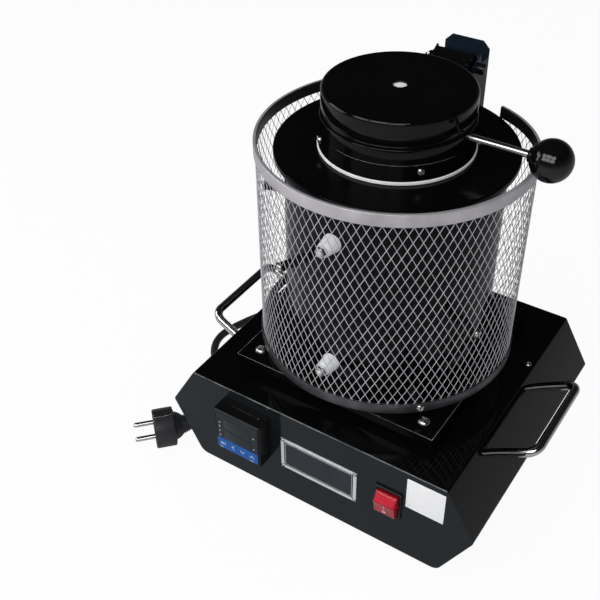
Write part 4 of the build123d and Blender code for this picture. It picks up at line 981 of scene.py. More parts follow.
class FURNACE_OT_stage(Operator):
    """Camera, pale floor, soft lamps and world"""

    bl_idname = "furnace.stage"
    bl_label = "Stage"

    def execute(self, context):
        stage = context.scene.furnace_stage
        context.scene.view_settings.view_transform = "Standard"
        data = bpy.data.cameras.new("camera")
        data.sensor_width = 36.0
        data.lens = stage.lens
        data.clip_start, data.clip_end = 0.01, 20
        camera = holder_of(data)
        az, el = stage.azimuth, stage.elevation
        back = Vector((sin(az) * cos(el), -cos(az) * cos(el), sin(el)))
        level = Vector((cos(az), sin(az), 0))
        upright = back.cross(level)
        right = level * cos(stage.roll) + upright * sin(stage.roll)
        matrix = Matrix((right, back.cross(right), back)).transposed().to_4x4()
        matrix.translation = Vector(stage.target) + back * stage.distance
        camera.matrix_world = matrix
        context.scene.camera = camera

        corners = [(x * FLOOR_REACH, y * FLOOR_REACH, 0) for x, y in ((-1, -1), (1, -1), (1, 1), (-1, 1))]
        floor = holder_of(mesh_of(corners, [(0, 1, 2, 3)]))
        floor.name = "floor"
        floor.data.materials.append(self.floor_finish(stage.floor_colour))
        power = stage.window_power / (stage.window_columns * stage.window_rows)
        for column in range(stage.window_columns):
            for row in range(stage.window_rows):
                x = (column - (stage.window_columns - 1) / 2) * (stage.pane_width + PANE_GAP)
                rise = (row - (stage.window_rows - 1) / 2) * (stage.pane_height + PANE_GAP)
                spot = (x, WINDOW_Y + rise * WINDOW_LEAN, WINDOW_Z + rise * WINDOW_RISE)
                self.lamp("window_pane", spot, (stage.pane_width, stage.pane_height), power)
        self.lamp("fill_lamp", FILL_PLACE, FILL_SIZE, stage.fill_power)
        self.world(context.scene)
        return {"FINISHED"}

    def floor_finish(self, tone):
        """Pale paper: plain white to the camera, shaded where the furnace stands."""
        material = bpy.data.materials.new("pale_floor")
        material.use_nodes = True
        tree = material.node_tree
        paper = tree.nodes["Principled BSDF"]
        noise = add(tree, "ShaderNodeTexNoise", {"Scale": 60.0}).outputs[0]
        second = (*(c * 0.98 for c in tone), 1)
        white = add(tree, "ShaderNodeMix", {0: noise, 6: (*tone, 1), 7: second}, data_type="RGBA")
        tree.links.new(white.outputs[2], paper.inputs["Base Color"])
        paper.inputs["Roughness"].default_value = 0.8
        glow = add(tree, "ShaderNodeEmission", {"Color": (1, 1, 1, 1), "Strength": GLOW}).outputs[0]
        rays = add(tree, "ShaderNodeLightPath").outputs
        seen = calc(tree, "MAXIMUM", rays["Is Camera Ray"], rays["Is Transmission Ray"])
        seen = calc(tree, "MAXIMUM", seen, calc(tree, "MULTIPLY", rays["Is Glossy Ray"], GLOSSY_GLOW))
        share = calc(tree, "MULTIPLY", seen, GLOW_SHARE)
        mixed = add(tree, "ShaderNodeMixShader", {0: share, 1: paper.outputs[0], 2: glow}).outputs[0]
        tree.links.new(mixed, tree.nodes["Material Output"].inputs["Surface"])
        return material

    def lamp(self, name, spot, size, power):
        """A soft rectangular lamp that faces the furnace."""
        data = bpy.data.lights.new(name, "AREA")
        data.shape = "RECTANGLE"
        data.size, data.size_y = size
        data.energy = power
        lamp = holder_of(data)
        lamp.location = spot
        lamp.rotation_euler = (Vector(spot) - LAMPS_AIM).to_track_quat("Z", "Y").to_euler()

    def world(self, scene):
        """White to the camera; for the rest a soft room, lighter at the horizon than overhead."""
        world = bpy.data.worlds.new("soft_room")
        world.use_nodes = True
        scene.world = world
        tree = world.node_tree
        ray = add(tree, "ShaderNodeTexCoord").outputs["Generated"]
        way = add(tree, "ShaderNodeSeparateXYZ", {0: ray}).outputs[2]
        room = {"Value": way, 1: 0.0, 2: 0.5, 3: ROOM_HORIZON, 4: ROOM_OVERHEAD}
        level = add(tree, "ShaderNodeMapRange", room).outputs[0]
        mirrored = {"Value": way, 1: 0.0, 2: 0.4, 3: GLOSSY_HORIZON, 4: GLOSSY_OVERHEAD}
        dim = add(tree, "ShaderNodeMapRange", mirrored).outputs[0]
        rays = add(tree, "ShaderNodeLightPath").outputs
        strength = add(tree, "ShaderNodeMix", {0: rays["Is Glossy Ray"], 2: level, 3: dim}).outputs[0]
        seen = calc(tree, "MAXIMUM", rays["Is Camera Ray"], rays["Is Transmission Ray"])
        strength = add(tree, "ShaderNodeMix", {0: seen, 2: strength, 3: 1.0}).outputs[0]
        sky = tree.nodes["Background"]
        sky.inputs["Color"].default_value = (1, 1, 1, 1)
        tree.links.new(strength, sky.inputs["Strength"])


# ---------------------------------------------------------------- cord
RELIEF_REACH, RELIEF_ROOT, RELIEF_TIP = 0.020, 0.0076, 0.0052
RELIEF_RIB = ((0.12, 0.0), (0.5, 0.0), (0.58, 0.0012), (0.9, 0.0012))  # a rib's (share of its length, depth)
CORD_GRIP = 0.0003  # how far the relief bites into the sheath
GLAND_NUT = (0.011, 0.011, 0.005)  # corner radius twice, and height
GLAND_THREAD = 0.0079  # radius
GLAND_INSIDE = 0.0062  # from the rear panel's outer face to the nut's far face
GLAND_RIBS = 18
PLUG_TAIL = 0.037
TAIL_EASE = 0.0142  # the cord's straight run out of the plug's tail
TAIL_RIBS = 5
PLUG_GROOVE = 0.0045  # half the width of the grooves at the plug's top and bottom
PIN_X, STRIP_Y = 0.0095, 0.0172  # of the pins and the earth strips off the plug's axis


class FURNACE_OT_cord(Operator):
    """Mains cord with its gland, ribbed strain relief, coil and plug"""

    bl_idname = "furnace.cord"
    bl_label = "Cord and plug"

    def execute(self, context):
        size = context.scene.furnace_cord
        curve = bpy.data.curves.new("mains_cord", "CURVE")
        curve.dimensions = "3D"
        curve.bevel_depth = size.radius
        curve.bevel_resolution = 4
        curve.resolution_u = 10
        curve.use_fill_caps = True
        tail = PLUG_FACE + PLUG_WAY * PLUG_TAIL
        route = [GLAND_FACE, *EXIT_ROUTE, *self.coil(size), *FRONT_ROUTE, tail + PLUG_WAY * TAIL_EASE, tail]
        spline = curve.splines.new("NURBS")
        spline.points.add(len(route) - 1)
        for point, spot in zip(spline.points, route):
            point.co = (*spot, 1)
        spline.order_u = 3
        spline.use_endpoint_u = True
        curve.materials.append(finish_of("cord_rubber"))
        cord = holder_of(curve)
        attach(cord, "furnace")
        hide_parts("cord_exit_stretch", "cord_coil", "cord_front_stretch")
        pieces = [self.relief(size), *self.plug()]
        self.gland()
        return {"FINISHED"}

    def coil(self, size):
        """The coil's points from its upper end to its lower one, spiralling in and out again."""
        step = 2 * pi / COIL_POINTS_PER_TURN
        count = round(COIL_TURNS * COIL_POINTS_PER_TURN)
        points = []
        for index in range(count, -1, -1):
            quarter = 4 * index / COIL_POINTS_PER_TURN
            half = 2 * COIL_TURNS
            inward = 1 - abs(quarter - half) / half
            radius = size.coil_radius + size.coil_swing * (1 - 2 * inward)
            if 0 < index < count:
                radius /= cos(step)**0.25
            climb = min(max((quarter - half + 1) / 2, 0), 1)
            angle = 1.5 * pi + index * step
            x = COIL_CENTRE[0] + radius * cos(angle)
            y = COIL_CENTRE[1] + radius * sin(angle)
            points.append((x, y, size.radius + size.coil_layer * climb))
        return points

    def relief(self, size):
        """The ribbed boot that eases the cord out of its gland."""
        reach, root, tip, bore = RELIEF_REACH, RELIEF_ROOT, RELIEF_TIP, size.radius - CORD_GRIP
        line = [(bore, 0), (root, 0)]
        for index in range(size.rib_count):
            for part, depth in RELIEF_RIB:
                share = (index + part) / size.rib_count
                line.append((root + (tip - root) * share - depth, reach * share))
        line += [(tip - 0.0004, reach), (bore, reach)]
        boot = turned(line, place_at(GLAND_FACE, REAR), sides=48, sharp=50)
        return settle("strain_relief", boot, "furnace", "cord_rubber", ["cord_strain_relief"])

    def gland(self):
        """The gland's hexagon collar and domed cap outside, its nut inside."""
        x, _, z = GLAND_FACE
        dome = [(0, 0.0174), (0.0064, 0.0174), (0.0080, 0.0166), (0.0091, 0.0148), (0.0094, 0.012)]
        dome += [(0.0094, 0.0062), (0.0086, 0.0050), (0, 0.0050)]
        seat = place_at((x, REAR_FACE, z), REAR)
        cap = turned(dome, seat, sides=64)
        collar = hexagon()
        collar.transform(seat @ Matrix.Diagonal((*GLAND_NUT, 1)))
        ribs = []
        for index in range(GLAND_RIBS):
            angle = 2 * pi * index / GLAND_RIBS
            ends = ((0.0093, 0.0065), (0.0090, 0.0145))
            ribs.append([(radius * cos(angle), radius * sin(angle), height) for radius, height in ends])
        grip = strokes(ribs, 0.0005, seat, sides=1)
        nut = hexagon()
        inside = place_at((x, REAR_FACE - GLAND_INSIDE, z), REAR)
        nut.transform(inside @ Matrix.Diagonal((*GLAND_NUT, 1)))
        thread = [(0, 0), (GLAND_THREAD, 0), (GLAND_THREAD, GLAND_INSIDE), (0, GLAND_INSIDE)]
        mesh = joined(cap, collar, grip, nut, turned(thread, inside, sides=48))
        settle("gland", mesh, "furnace", "gland_black", ["cord_gland"])

    def plug(self):
        """The round plug with its grooves, ribbed tail, two pins and two earth strips."""
        seat = place_at(PLUG_FACE, PLUG_WAY)
        loops = []
        for z, radius, depth in (
            (0.0, 0.0176, 0.0018), (0.0004, 0.0184, 0.0022), (0.0014, 0.019, 0.0022), (0.0185, 0.019, 0.0022),
            (0.0196, 0.0185, 0.0018), (0.0203, 0.0150, 0.0), (0.0206, 0.0138, 0.0),
        ):
            loops.append([(x, y, z) for x, y in self.notched(radius, depth)])
        body = loft(loops, seat, sharp=30)
        tail = [(0, 0.0203), (0.0136, 0.0203), (0.0132, 0.0222), (0.0108, 0.0262)]
        for index in range(TAIL_RIBS):
            share = index / TAIL_RIBS
            z = 0.0268 + 0.0100 * share
            radius = 0.0098 - 0.0034 * share
            rib = ((0.0, 0.0), (0.0002, 0.0011), (0.0012, 0.0013), (0.0013, 0.0019))
            tail += [(radius - depth, z + step) for depth, step in rib]
        tail += [(0.0060, PLUG_TAIL - 0.0001), (0, PLUG_TAIL)]
        tail = turned(tail, seat, sides=64, sharp=45)
        seam = strokes([[(0.0191, -0.0002, 0.0016), (0.0191, 0, 0.0184)]], 0.0002, seat, sides=1)
        mesh = joined(body, tail, seam)
        body = settle("plug", mesh, "furnace", "plug_rubber", ["plug_body"])

        pin = [(0, -0.019), (0.0012, -0.0189), (0.0021, -0.0180), (0.0024, -0.0165)]
        pin += [(0.0024, 0.0070), (0, 0.0070)]
        metal = []
        for side in (-1, 1):
            metal.append(turned(pin, seat @ Matrix.Translation((side * PIN_X, 0, 0)), sides=40))
            strip = rounded_block((-0.0025, -0.0004, 0.0012), (0.0025, 0.0004, 0.0188), 0.0003)
            strip.transform(seat @ Matrix.Translation((0, side * STRIP_Y, 0)))
            metal.append(strip)
        pins = settle("plug_metal", joined(*metal), "furnace", "plated_pins", ["plug_pins"])
        return [body, pins]

    def notched(self, radius, depth):
        """A round outline with a groove at the top and at the bottom."""
        half, steps = PLUG_GROOVE, 32
        gap = asin(half / radius)
        outline = []
        for side in (1, -1):
            outline += [(side * half, side * (radius - depth)), (-side * half, side * (radius - depth))]
            for index in range(steps + 1):
                angle = side * pi / 2 + gap + (pi - 2 * gap) * index / steps
                outline.append((radius * cos(angle), radius * sin(angle)))
        return outline


# ---------------------------------------------------------------- case
HEM_REACH = 0.1245  # half the length of the painted highlight on the cover's front edge
FOOT_X, FOOT_Y = 0.098, 0.1
HANDLE_SHARE = 0.48  # how far up the slope a handle stands
HANDLE_SHIFT = 0.006  # how far the handles stand behind the case's middle
COVER_SCREW_X, COVER_SCREW_Y = 0.12, 0.045
SLOPE_SCREW_INSET = 0.0072  # from an end panel's face to the screws in the lower slope


class FURNACE_OT_case(Operator):
    """Six-sided case: folded cover, end panels, floor plate, feet, handles and their screws"""

    bl_idname = "furnace.case"
    bl_label = "Case and handles"

    def execute(self, context):
        size = context.scene.furnace_case
        for node, slot in (
            ("case_cover", "gloss_black_enamel"), ("case_front_panel", "charcoal_paint"),
            ("case_rear_panel", "charcoal_paint"),
        ):
            settle(node + "_sheet", eased_copy(node, size.edge), "furnace", slot, [node])
        keep("satin_black_steel", "case_floor_plate")
        keep("zinc_steel", "foot_screws", "handle_screws")
        self.worn_hem()
        self.feet(size)
        for side, node in ((1, "handle_right"), (-1, "handle_left")):
            self.handle(size, side, node)
        self.cover_screws()
        return {"FINISHED"}

    def worn_hem(self):
        """A thin light line along the cover's front edge: a painted highlight where the edge catches the light.
        """
        y, z = PANEL_FACE + 0.0002, CASE_HIGH.z - 0.0003
        hem = strokes([[(-HEM_REACH, y, z), (HEM_REACH, y, z)]], 0.00045, sides=2)
        settle("worn_hem", hem, "furnace", "charcoal_paint", look="worn_edge")

    def feet(self, size):
        """Four tapered rubber feet with a rounded tread and a counterbore."""
        r, h = size.foot_radius, size.foot_height
        line = [(0.0021, h), (r, h), (r - 0.0003, 0.0100), (r - 0.0012, 0.0018), (r - 0.0024, 0.0)]
        line += [(0.0050, 0.0), (0.0044, 0.0006), (0.0042, 0.004), (0.0021, 0.004)]
        foot = turned(softened(line, 0.0004, 2), sides=48)
        spots = [((x, y, 0), UP, (1, 1, 1)) for x in (-FOOT_X, FOOT_X) for y in (-FOOT_Y, FOOT_Y)]
        settle("feet", scattered(foot, spots, "foot_rubber"), "furnace", "foot_rubber", ["rubber_feet"])

    def handle(self, size, side, node):
        """A chrome bar bent to a U, square on the case's slope."""
        foot, out = slope_place(HANDLE_SHARE, side)
        half = size.handle_spacing / 2
        legs = [foot + REAR * (HANDLE_SHIFT + sign * half) for sign in (-1, 1)]
        tips = [leg + out * size.handle_reach for leg in legs]
        path = softened([legs[0], tips[0], tips[1], legs[1]], size.bend_radius, 14, closed=False)
        bar = strokes([path], size.bar_radius, sides=8)
        settle(node + "_bar", bar, "furnace", "chromed_bar", [node])

    def cover_screws(self):
        """The screws in the cover's top and in the lower slopes."""
        places = [((side * COVER_SCREW_X, COVER_SCREW_Y, CASE_HIGH.z), UP) for side in (-1, 1)]
        middle = (HEM + WAIST) / 2
        for side in (-1, 1):
            for y in (PANEL_FACE + SLOPE_SCREW_INSET, REAR_FACE - SLOPE_SCREW_INSET):
                out = Vector((side * (WAIST.z - HEM.z), 0, HEM.x - WAIST.x)).normalized()
                places.append(((side * middle.x, y, middle.z), out))
        rows = [(seat, out, SMALL_SCREW, 0.006) for seat, out in places]
        settle("cover_screws", screws(rows, seed=2), "furnace", "zinc_steel", ["case_screws"])


# ---------------------------------------------------------------- controls
KEYS = ("key_set", "key_shift", "key_down", "key_up")
KEY_HOLE_HALF = 0.0042  # half the height of a key's hole in the strip
KEY_GAP = 0.0002
STRIP_HALF = 0.0217  # half the width of the strip behind the keys
FILM = 0.00014  # the strip's thickness
DISPLAY_HEIGHTS = (0.0188, 0.0322)  # of the display's windows over the face's foot
MARK_X = -0.0189  # where the indicator marks start
MARK_HEIGHTS = (0.0155, 0.0209, 0.0263, 0.0317)
# The lines of the first key's small letters, and the arrow that the others turn
SET_STROKES = (
    (
        (-0.0011, 0.0010), (-0.0024, 0.0010), (-0.0024, 0.0), (-0.0012, 0.0), (-0.0012, -0.0010),
        (-0.0025, -0.0010),
    ),
    ((0.0006, 0.0010), (-0.0005, 0.0010), (-0.0005, -0.0010), (0.0006, -0.0010)),
    ((-0.0005, 0.0), (0.0005, 0.0)),
    ((0.0011, 0.0010), (0.0026, 0.0010)),
    ((0.00185, 0.0010), (0.00185, -0.0011)),
)
ARROW = ((-0.0021, -0.0013), (0, 0.0013), (0.0021, -0.0013))
# The rocker's profile, (back from the bezel's face, up from its middle): head, ridge and foot, then its back
ROCKER_PROFILE = (
    (-0.0016, 0.0112), (-0.0074, 0.0032), (-0.0044, -0.0112), (0.0070, -0.0086), (0.0070, 0.0086),
)
ROCKER_SIDE = 0.0028  # from the bezel's side to the rocker's
ROCKER_DEPTH = 0.011  # against which its side edges are eased
ROCKER_HOLLOW = 0.0005
PIVOT_RADIUS, PIVOT_STUB = 0.0015, 0.0009
OFF_RING = 0.0014  # radius of the rocker's ring


class FURNACE_OT_controller(Operator):
    """Square temperature controller with its display, indicator marks and four keys"""

    bl_idname = "furnace.controller"
    bl_label = "Temperature controller"

    def execute(self, context):
        size = context.scene.furnace_controls
        low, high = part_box("controller_face")
        self.front = low.y
        self.middle = (low.x + high.x) / 2
        for name, node, edge, slot in (
            ("controller_case", "controller_housing", 0.0003, "black_plastic"),
            ("controller_plate", "controller_face", 0.00012, "display_plate"),
        ):
            settle(name, eased_copy(node, edge), "furnace", slot, [node])
        keep("black_plastic", "controller_clamp")
        self.strip(size, low)
        self.display()
        self.top_marks()
        for node in KEYS:
            self.key(size, node)
        return {"FINISHED"}

    def on_face(self, x, z, lift=0.0):
        """A place on the display's plate, x from its middle and z from its foot."""
        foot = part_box("controller_face")[0].z
        return place_at((self.middle + x, self.front - lift, foot + z), FRONT)

    def strip(self, size, low):
        """The blue strip round the keys, with two thin pale dashes under the outer ones."""
        holes = []
        for node in KEYS:
            key_low, key_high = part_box(node)
            x = (key_low.x + key_high.x) / 2 - self.middle
            z = (key_low.z + key_high.z) / 2 - low.z
            holes.append(rectangle(size.key_size / 2 + KEY_GAP, KEY_HOLE_HALF, 0.0006, (x, z)))
        outline = rectangle(STRIP_HALF, size.strip_height / 2, 0.0005, (0, size.strip_height / 2 + 0.0002))
        film = plate([outline, *holes], FILM, self.on_face(0, 0))
        settle("key_strip", film, "furnace", "key_blue")
        dashes = [[(x, 0.00105), (x + 0.0036, 0.00105)] for x in (-0.0198, 0.0132)]
        marks = strokes(dashes, 0.0003, self.on_face(0, 0, FILM), height=0.25)
        settle("strip_marks", marks, "furnace", "label_white", look="symbol_white")

    def display(self):
        """Two dark windows, one above the other, with small pale indicator marks beside them."""
        windows = []
        for z in DISPLAY_HEIGHTS:
            outline = rectangle(0.0142, 0.0060, 0.0008, (0.0008, z))
            windows.append(plate([outline], 0.00018, self.on_face(0, 0), edge=0.00006))
        settle("display_windows", joined(*windows), "furnace", "display_plate", look="display_glass")
        bars = [[(MARK_X, z), (MARK_X + 0.0016, z)] for z in MARK_HEIGHTS]
        bars += [[(MARK_X, z + 0.0012), (MARK_X + 0.0008, z + 0.0012)] for z in MARK_HEIGHTS[:3]]
        bars += [[(0.0171, z), (0.0179, z + 0.0009), (0.0187, z)] for z in (0.0167, 0.0301)]
        marks = strokes(bars, 0.00028, self.on_face(0, 0), height=0.3)
        settle("indicator_marks", marks, "furnace", "label_white", look="symbol_white")

    def top_marks(self):
        """The moulded slot line and the small catch on the bezel's top face."""
        low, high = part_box("controller_housing")
        seat = place_at((self.middle, low.y + 0.0087, high.z), UP, REAR)
        slot = strokes([[(-0.0120, 0.0026), (0.0120, 0.0026)]], 0.00035, seat, height=0.4)
        dot = [(0, 0), (0.0009, 0), (0.0008, 0.0003), (0, 0.0004)]
        dot = turned(dot, seat @ Matrix.Translation((0.0165, 0.0018, 0)), sides=20)
        settle("bezel_slot", slot, "furnace", "black_plastic", look="display_plate")
        settle("bezel_dot", dot, "furnace", "zinc_steel")

    def key(self, size, node):
        """A blue key with its raised white symbol: short letters on the first, arrows on the others."""
        low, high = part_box(node)
        cap = rounded_block(low, high, 0.00018)
        settle(node + "_cap", cap, node, "key_blue", [node])
        middle = (low + high) / 2
        seat = place_at((middle.x, low.y + 0.00002, middle.z), FRONT)
        lines = {
            "key_set": SET_STROKES,
            "key_shift": [[(-y, x) for x, y in ARROW]],
            "key_down": [[(x, -y) for x, y in ARROW]],
            "key_up": [ARROW],
        }[node]
        thin = 0.7 if node == "key_set" else 1
        symbol = strokes(lines, size.symbol_stroke / 2 * thin, seat, height=0.35)
        settle(node + "_symbol", symbol, node, "label_white", look="symbol_white")


class FURNACE_OT_switch(Operator):
    """Snap-in rocker switch with its two facets, ribs and on and off marks"""

    bl_idname = "furnace.switch"
    bl_label = "Rocker switch"

    def execute(self, context):
        size = context.scene.furnace_controls
        bezel = eased_copy("switch_housing", 0.0003)
        settle("switch_bezel", bezel, "furnace", "black_plastic", ["switch_housing"])
        low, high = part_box("switch_housing")
        face = low.y
        x = (low.x + high.x) / 2
        z = (low.z + high.z) / 2
        half = (high.x - low.x) / 2 - ROCKER_SIDE
        line = self.facets(ROCKER_PROFILE)
        loops = []
        for share, inset in ((-1.0, 0.0004), (-0.975, 0.0), (0.975, 0.0), (1.0, 0.0004)):
            shrink = 1 - inset / ROCKER_DEPTH
            side = x + half * share
            loops.append([(side, face + y * (shrink if y < 0 else 1), z + h * shrink) for y, h in line])
        body = loft(loops, sharp=28)
        end = half + PIVOT_STUB
        pin = [(0, -end), (PIVOT_RADIUS, -end), (PIVOT_RADIUS, end), (0, end)]
        pin = turned(pin, place_at((x, face + 0.001, z), RIGHT), sides=24)
        settle("rocker", joined(body, pin), "rocker", "rocker_red", ["switch_rocker"])

        head, ridge, foot = (Vector((x, face + y, z + h)) for y, h in ROCKER_PROFILE[:3])
        run = head - ridge
        upper = place_at((head + ridge) / 2, Vector((0, -abs(run.z), abs(run.y))), UP)
        outline = rectangle(half - 0.0012, run.length / 2 - 0.0011, 0.0008)
        pad = plate([outline], 0.00022, upper, edge=0.00008)
        ribs = []
        for index in range(size.rib_count):
            rib_x = (index / (size.rib_count - 1) - 0.5) * 2 * (half - 0.0024)
            ribs.append([(rib_x, -run.length / 2 + 0.0018), (rib_x, run.length / 2 - 0.0018)])
        ribs = strokes(ribs, 0.00045, upper @ Matrix.Translation((0, 0, 0.0002)), height=0.6)
        facet = joined(pad, ribs)
        # Painted light: the upper facet in a lighter red than the rest of the rocker
        settle("rocker_facet", facet, "rocker", "rocker_red", look="rocker_bright")

        run = ridge - foot
        lower = place_at((ridge + foot) / 2 - FRONT * 0.00025, Vector((0, -abs(run.z), -abs(run.y))), UP)
        angles = [2 * pi * index / 24 for index in range(25)]
        ring = [(OFF_RING * cos(angle), -0.0034 + OFF_RING * sin(angle)) for angle in angles]
        marks = strokes([[(0, 0.0019), (0, 0.0044)], ring], 0.0003, lower, height=0.5)
        settle("rocker_marks", marks, "rocker", "label_white", look="symbol_white")
        return {"FINISHED"}

    def facets(self, corners):
        """The rocker's profile, its lower facet hollowed a little and its corners softened."""
        line = []
        for index, (start, end) in enumerate(zip(corners, corners[1:] + corners[:1])):
            line.append(start)
            if index == 1:
                for step in range(1, 6):
                    share = step / 6
                    hollow = ROCKER_HOLLOW * sin(pi * share)
                    out = start[0] + (end[0] - start[0]) * share + hollow
                    line.append((out, start[1] + (end[1] - start[1]) * share))
        return softened(line, 0.0005, 3)


class FURNACE_OT_plates(Operator):
    """Plain metal plate with its dark field and rivets, and the plain white label"""

    bl_idname = "furnace.plates"
    bl_label = "Plates"

    def execute(self, context):
        size = context.scene.furnace_controls
        low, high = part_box("nameplate")
        settle("plate_frame", eased_copy("nameplate", 0.00018), "furnace", "nameplate_aluminium", ["nameplate"])
        middle = (low + high) / 2
        seat = place_at((middle.x, low.y + 0.0003, middle.z), FRONT)
        half_x, half_z = (high.x - low.x) / 2, (high.z - low.z) / 2
        edge = size.frame_width
        field = plate([rectangle(half_x - edge, half_z - edge, 0.0006)], 0.00012, seat)
        settle("plate_field", field, "furnace", "nameplate_aluminium", look="plate_field")
        rounds = ((edge + 0.0012, 0.0006), (edge + 0.00155, 0.0005))
        border = [rectangle(half_x - inset, half_z - inset, corner) for inset, corner in rounds]
        line = plate(border, 0.00005, seat @ Matrix.Translation((0, 0, 0.00012)))
        settle("plate_line", line, "furnace", "nameplate_aluminium")
        crown = turned([(0, 0.6), (0.5, 0.52), (0.85, 0.3), (1, 0), (0, 0)], sides=20)
        # Painted shadow: a thin dark ring under each rivet's head
        ring = turned([(0.95, 0), (1.4, 0), (1.4, 0.04), (0.95, 0.04)], sides=24)
        spots = []
        for sx in (-1, 1):
            for sz in (-1, 1):
                spot = (middle.x + sx * (half_x - edge * 0.55), low.y, middle.z + sz * (half_z - edge * 0.55))
                spots.append((spot, FRONT, (size.rivet_radius,) * 3))
        settle("plate_rivets", scattered(crown, spots, "bright_rod"), "furnace", "bright_rod")
        rings = scattered(ring, spots, "black_bolt_steel")
        settle("rivet_rings", rings, "furnace", "black_bolt_steel")
        low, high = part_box("blank_label")
        middle = (low + high) / 2
        seat = place_at((middle.x, high.y, middle.z), FRONT)
        outline = rectangle((high.x - low.x) / 2, (high.z - low.z) / 2, 0.0006)
        label = plate([outline], high.y - low.y, seat, edge=0.00006)
        settle("label_film", label, "furnace", "label_white", ["blank_label"])
        return {"FINISHED"}


# ---------------------------------------------------------------- drum
STANDOFF_XY, STANDOFF_RADIUS = 0.0808, 0.006
DRUM_SHEET = 0.001
DRUM_FLANGE = 0.014  # how far the wall's foot is turned in
DISC_BORE, DISC_SHEET = 0.051, 0.0012
MOUTH_RADIUS, MOUTH_RING_RADIUS = 0.0512, 0.0498
COLLAR_SHEET = 0.0015
MUFFLE_BORE = 0.040
BUSH_FOOT = 0.0548  # where a terminal's bush starts, from the chamber's axis
BUSH_BORE = 0.0027
PROBE_ANGLE, PROBE_HEIGHT = 150.0, 0.163  # the height is over the wall's foot


class FURNACE_OT_platform(Operator):
    """Tray under the drum with its standoffs and screws"""

    bl_idname = "furnace.platform"
    bl_label = "Platform"

    def execute(self, context):
        tray = eased_copy("platform_plate", 0.0005)
        settle("platform_tray", tray, "furnace", "gloss_black_enamel", ["platform_plate"])
        low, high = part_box("platform_plate")
        inset = Vector((0.0003, 0.0003, 0.0003))
        low, high = low + inset, high - inset
        corners = [(low.x, high.y - 0.04), (low.x, low.y), (high.x, low.y), (high.x, high.y - 0.04)]
        # Painted highlight: a thin light line along the tray's lip edges
        lip = strokes([[(x, y, high.z) for x, y in corners]], 0.00042, sides=2)
        settle("tray_lip", lip, "furnace", "gloss_black_enamel", look="worn_edge")
        low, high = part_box("platform_standoffs")
        sleeve = turned(softened([(0.43, 0), (1, 0), (1, 1), (0.43, 1)], 0.03, 2), sides=32)
        spots = [(sx * STANDOFF_XY, sy * STANDOFF_XY) for sx in (-1, 1) for sy in (-1, 1)]
        rows = [((x, y, low.z), UP, (STANDOFF_RADIUS, STANDOFF_RADIUS, high.z - low.z)) for x, y in spots]
        sleeves = scattered(sleeve, rows, "zinc_steel")
        settle("standoffs", sleeves, "furnace", "zinc_steel", ["platform_standoffs"])
        top, nut_foot = DRUM_LOW.z, CASE_HIGH.z - TRAY_NUT_DROP
        rows = [((x, y, top), UP, TRAY_SCREW, top - nut_foot) for x, y in spots]
        nuts = [((x, y, nut_foot), UP, (0.0046, 0.0046, 0.004)) for x, y in spots]
        mesh = joined(screws(rows, seed=5),
                      scattered(hexagon(0.56), nuts, "zinc_steel"))
        settle("tray_screws", mesh, "furnace", "zinc_steel", ["platform_screws"])
        return {"FINISHED"}


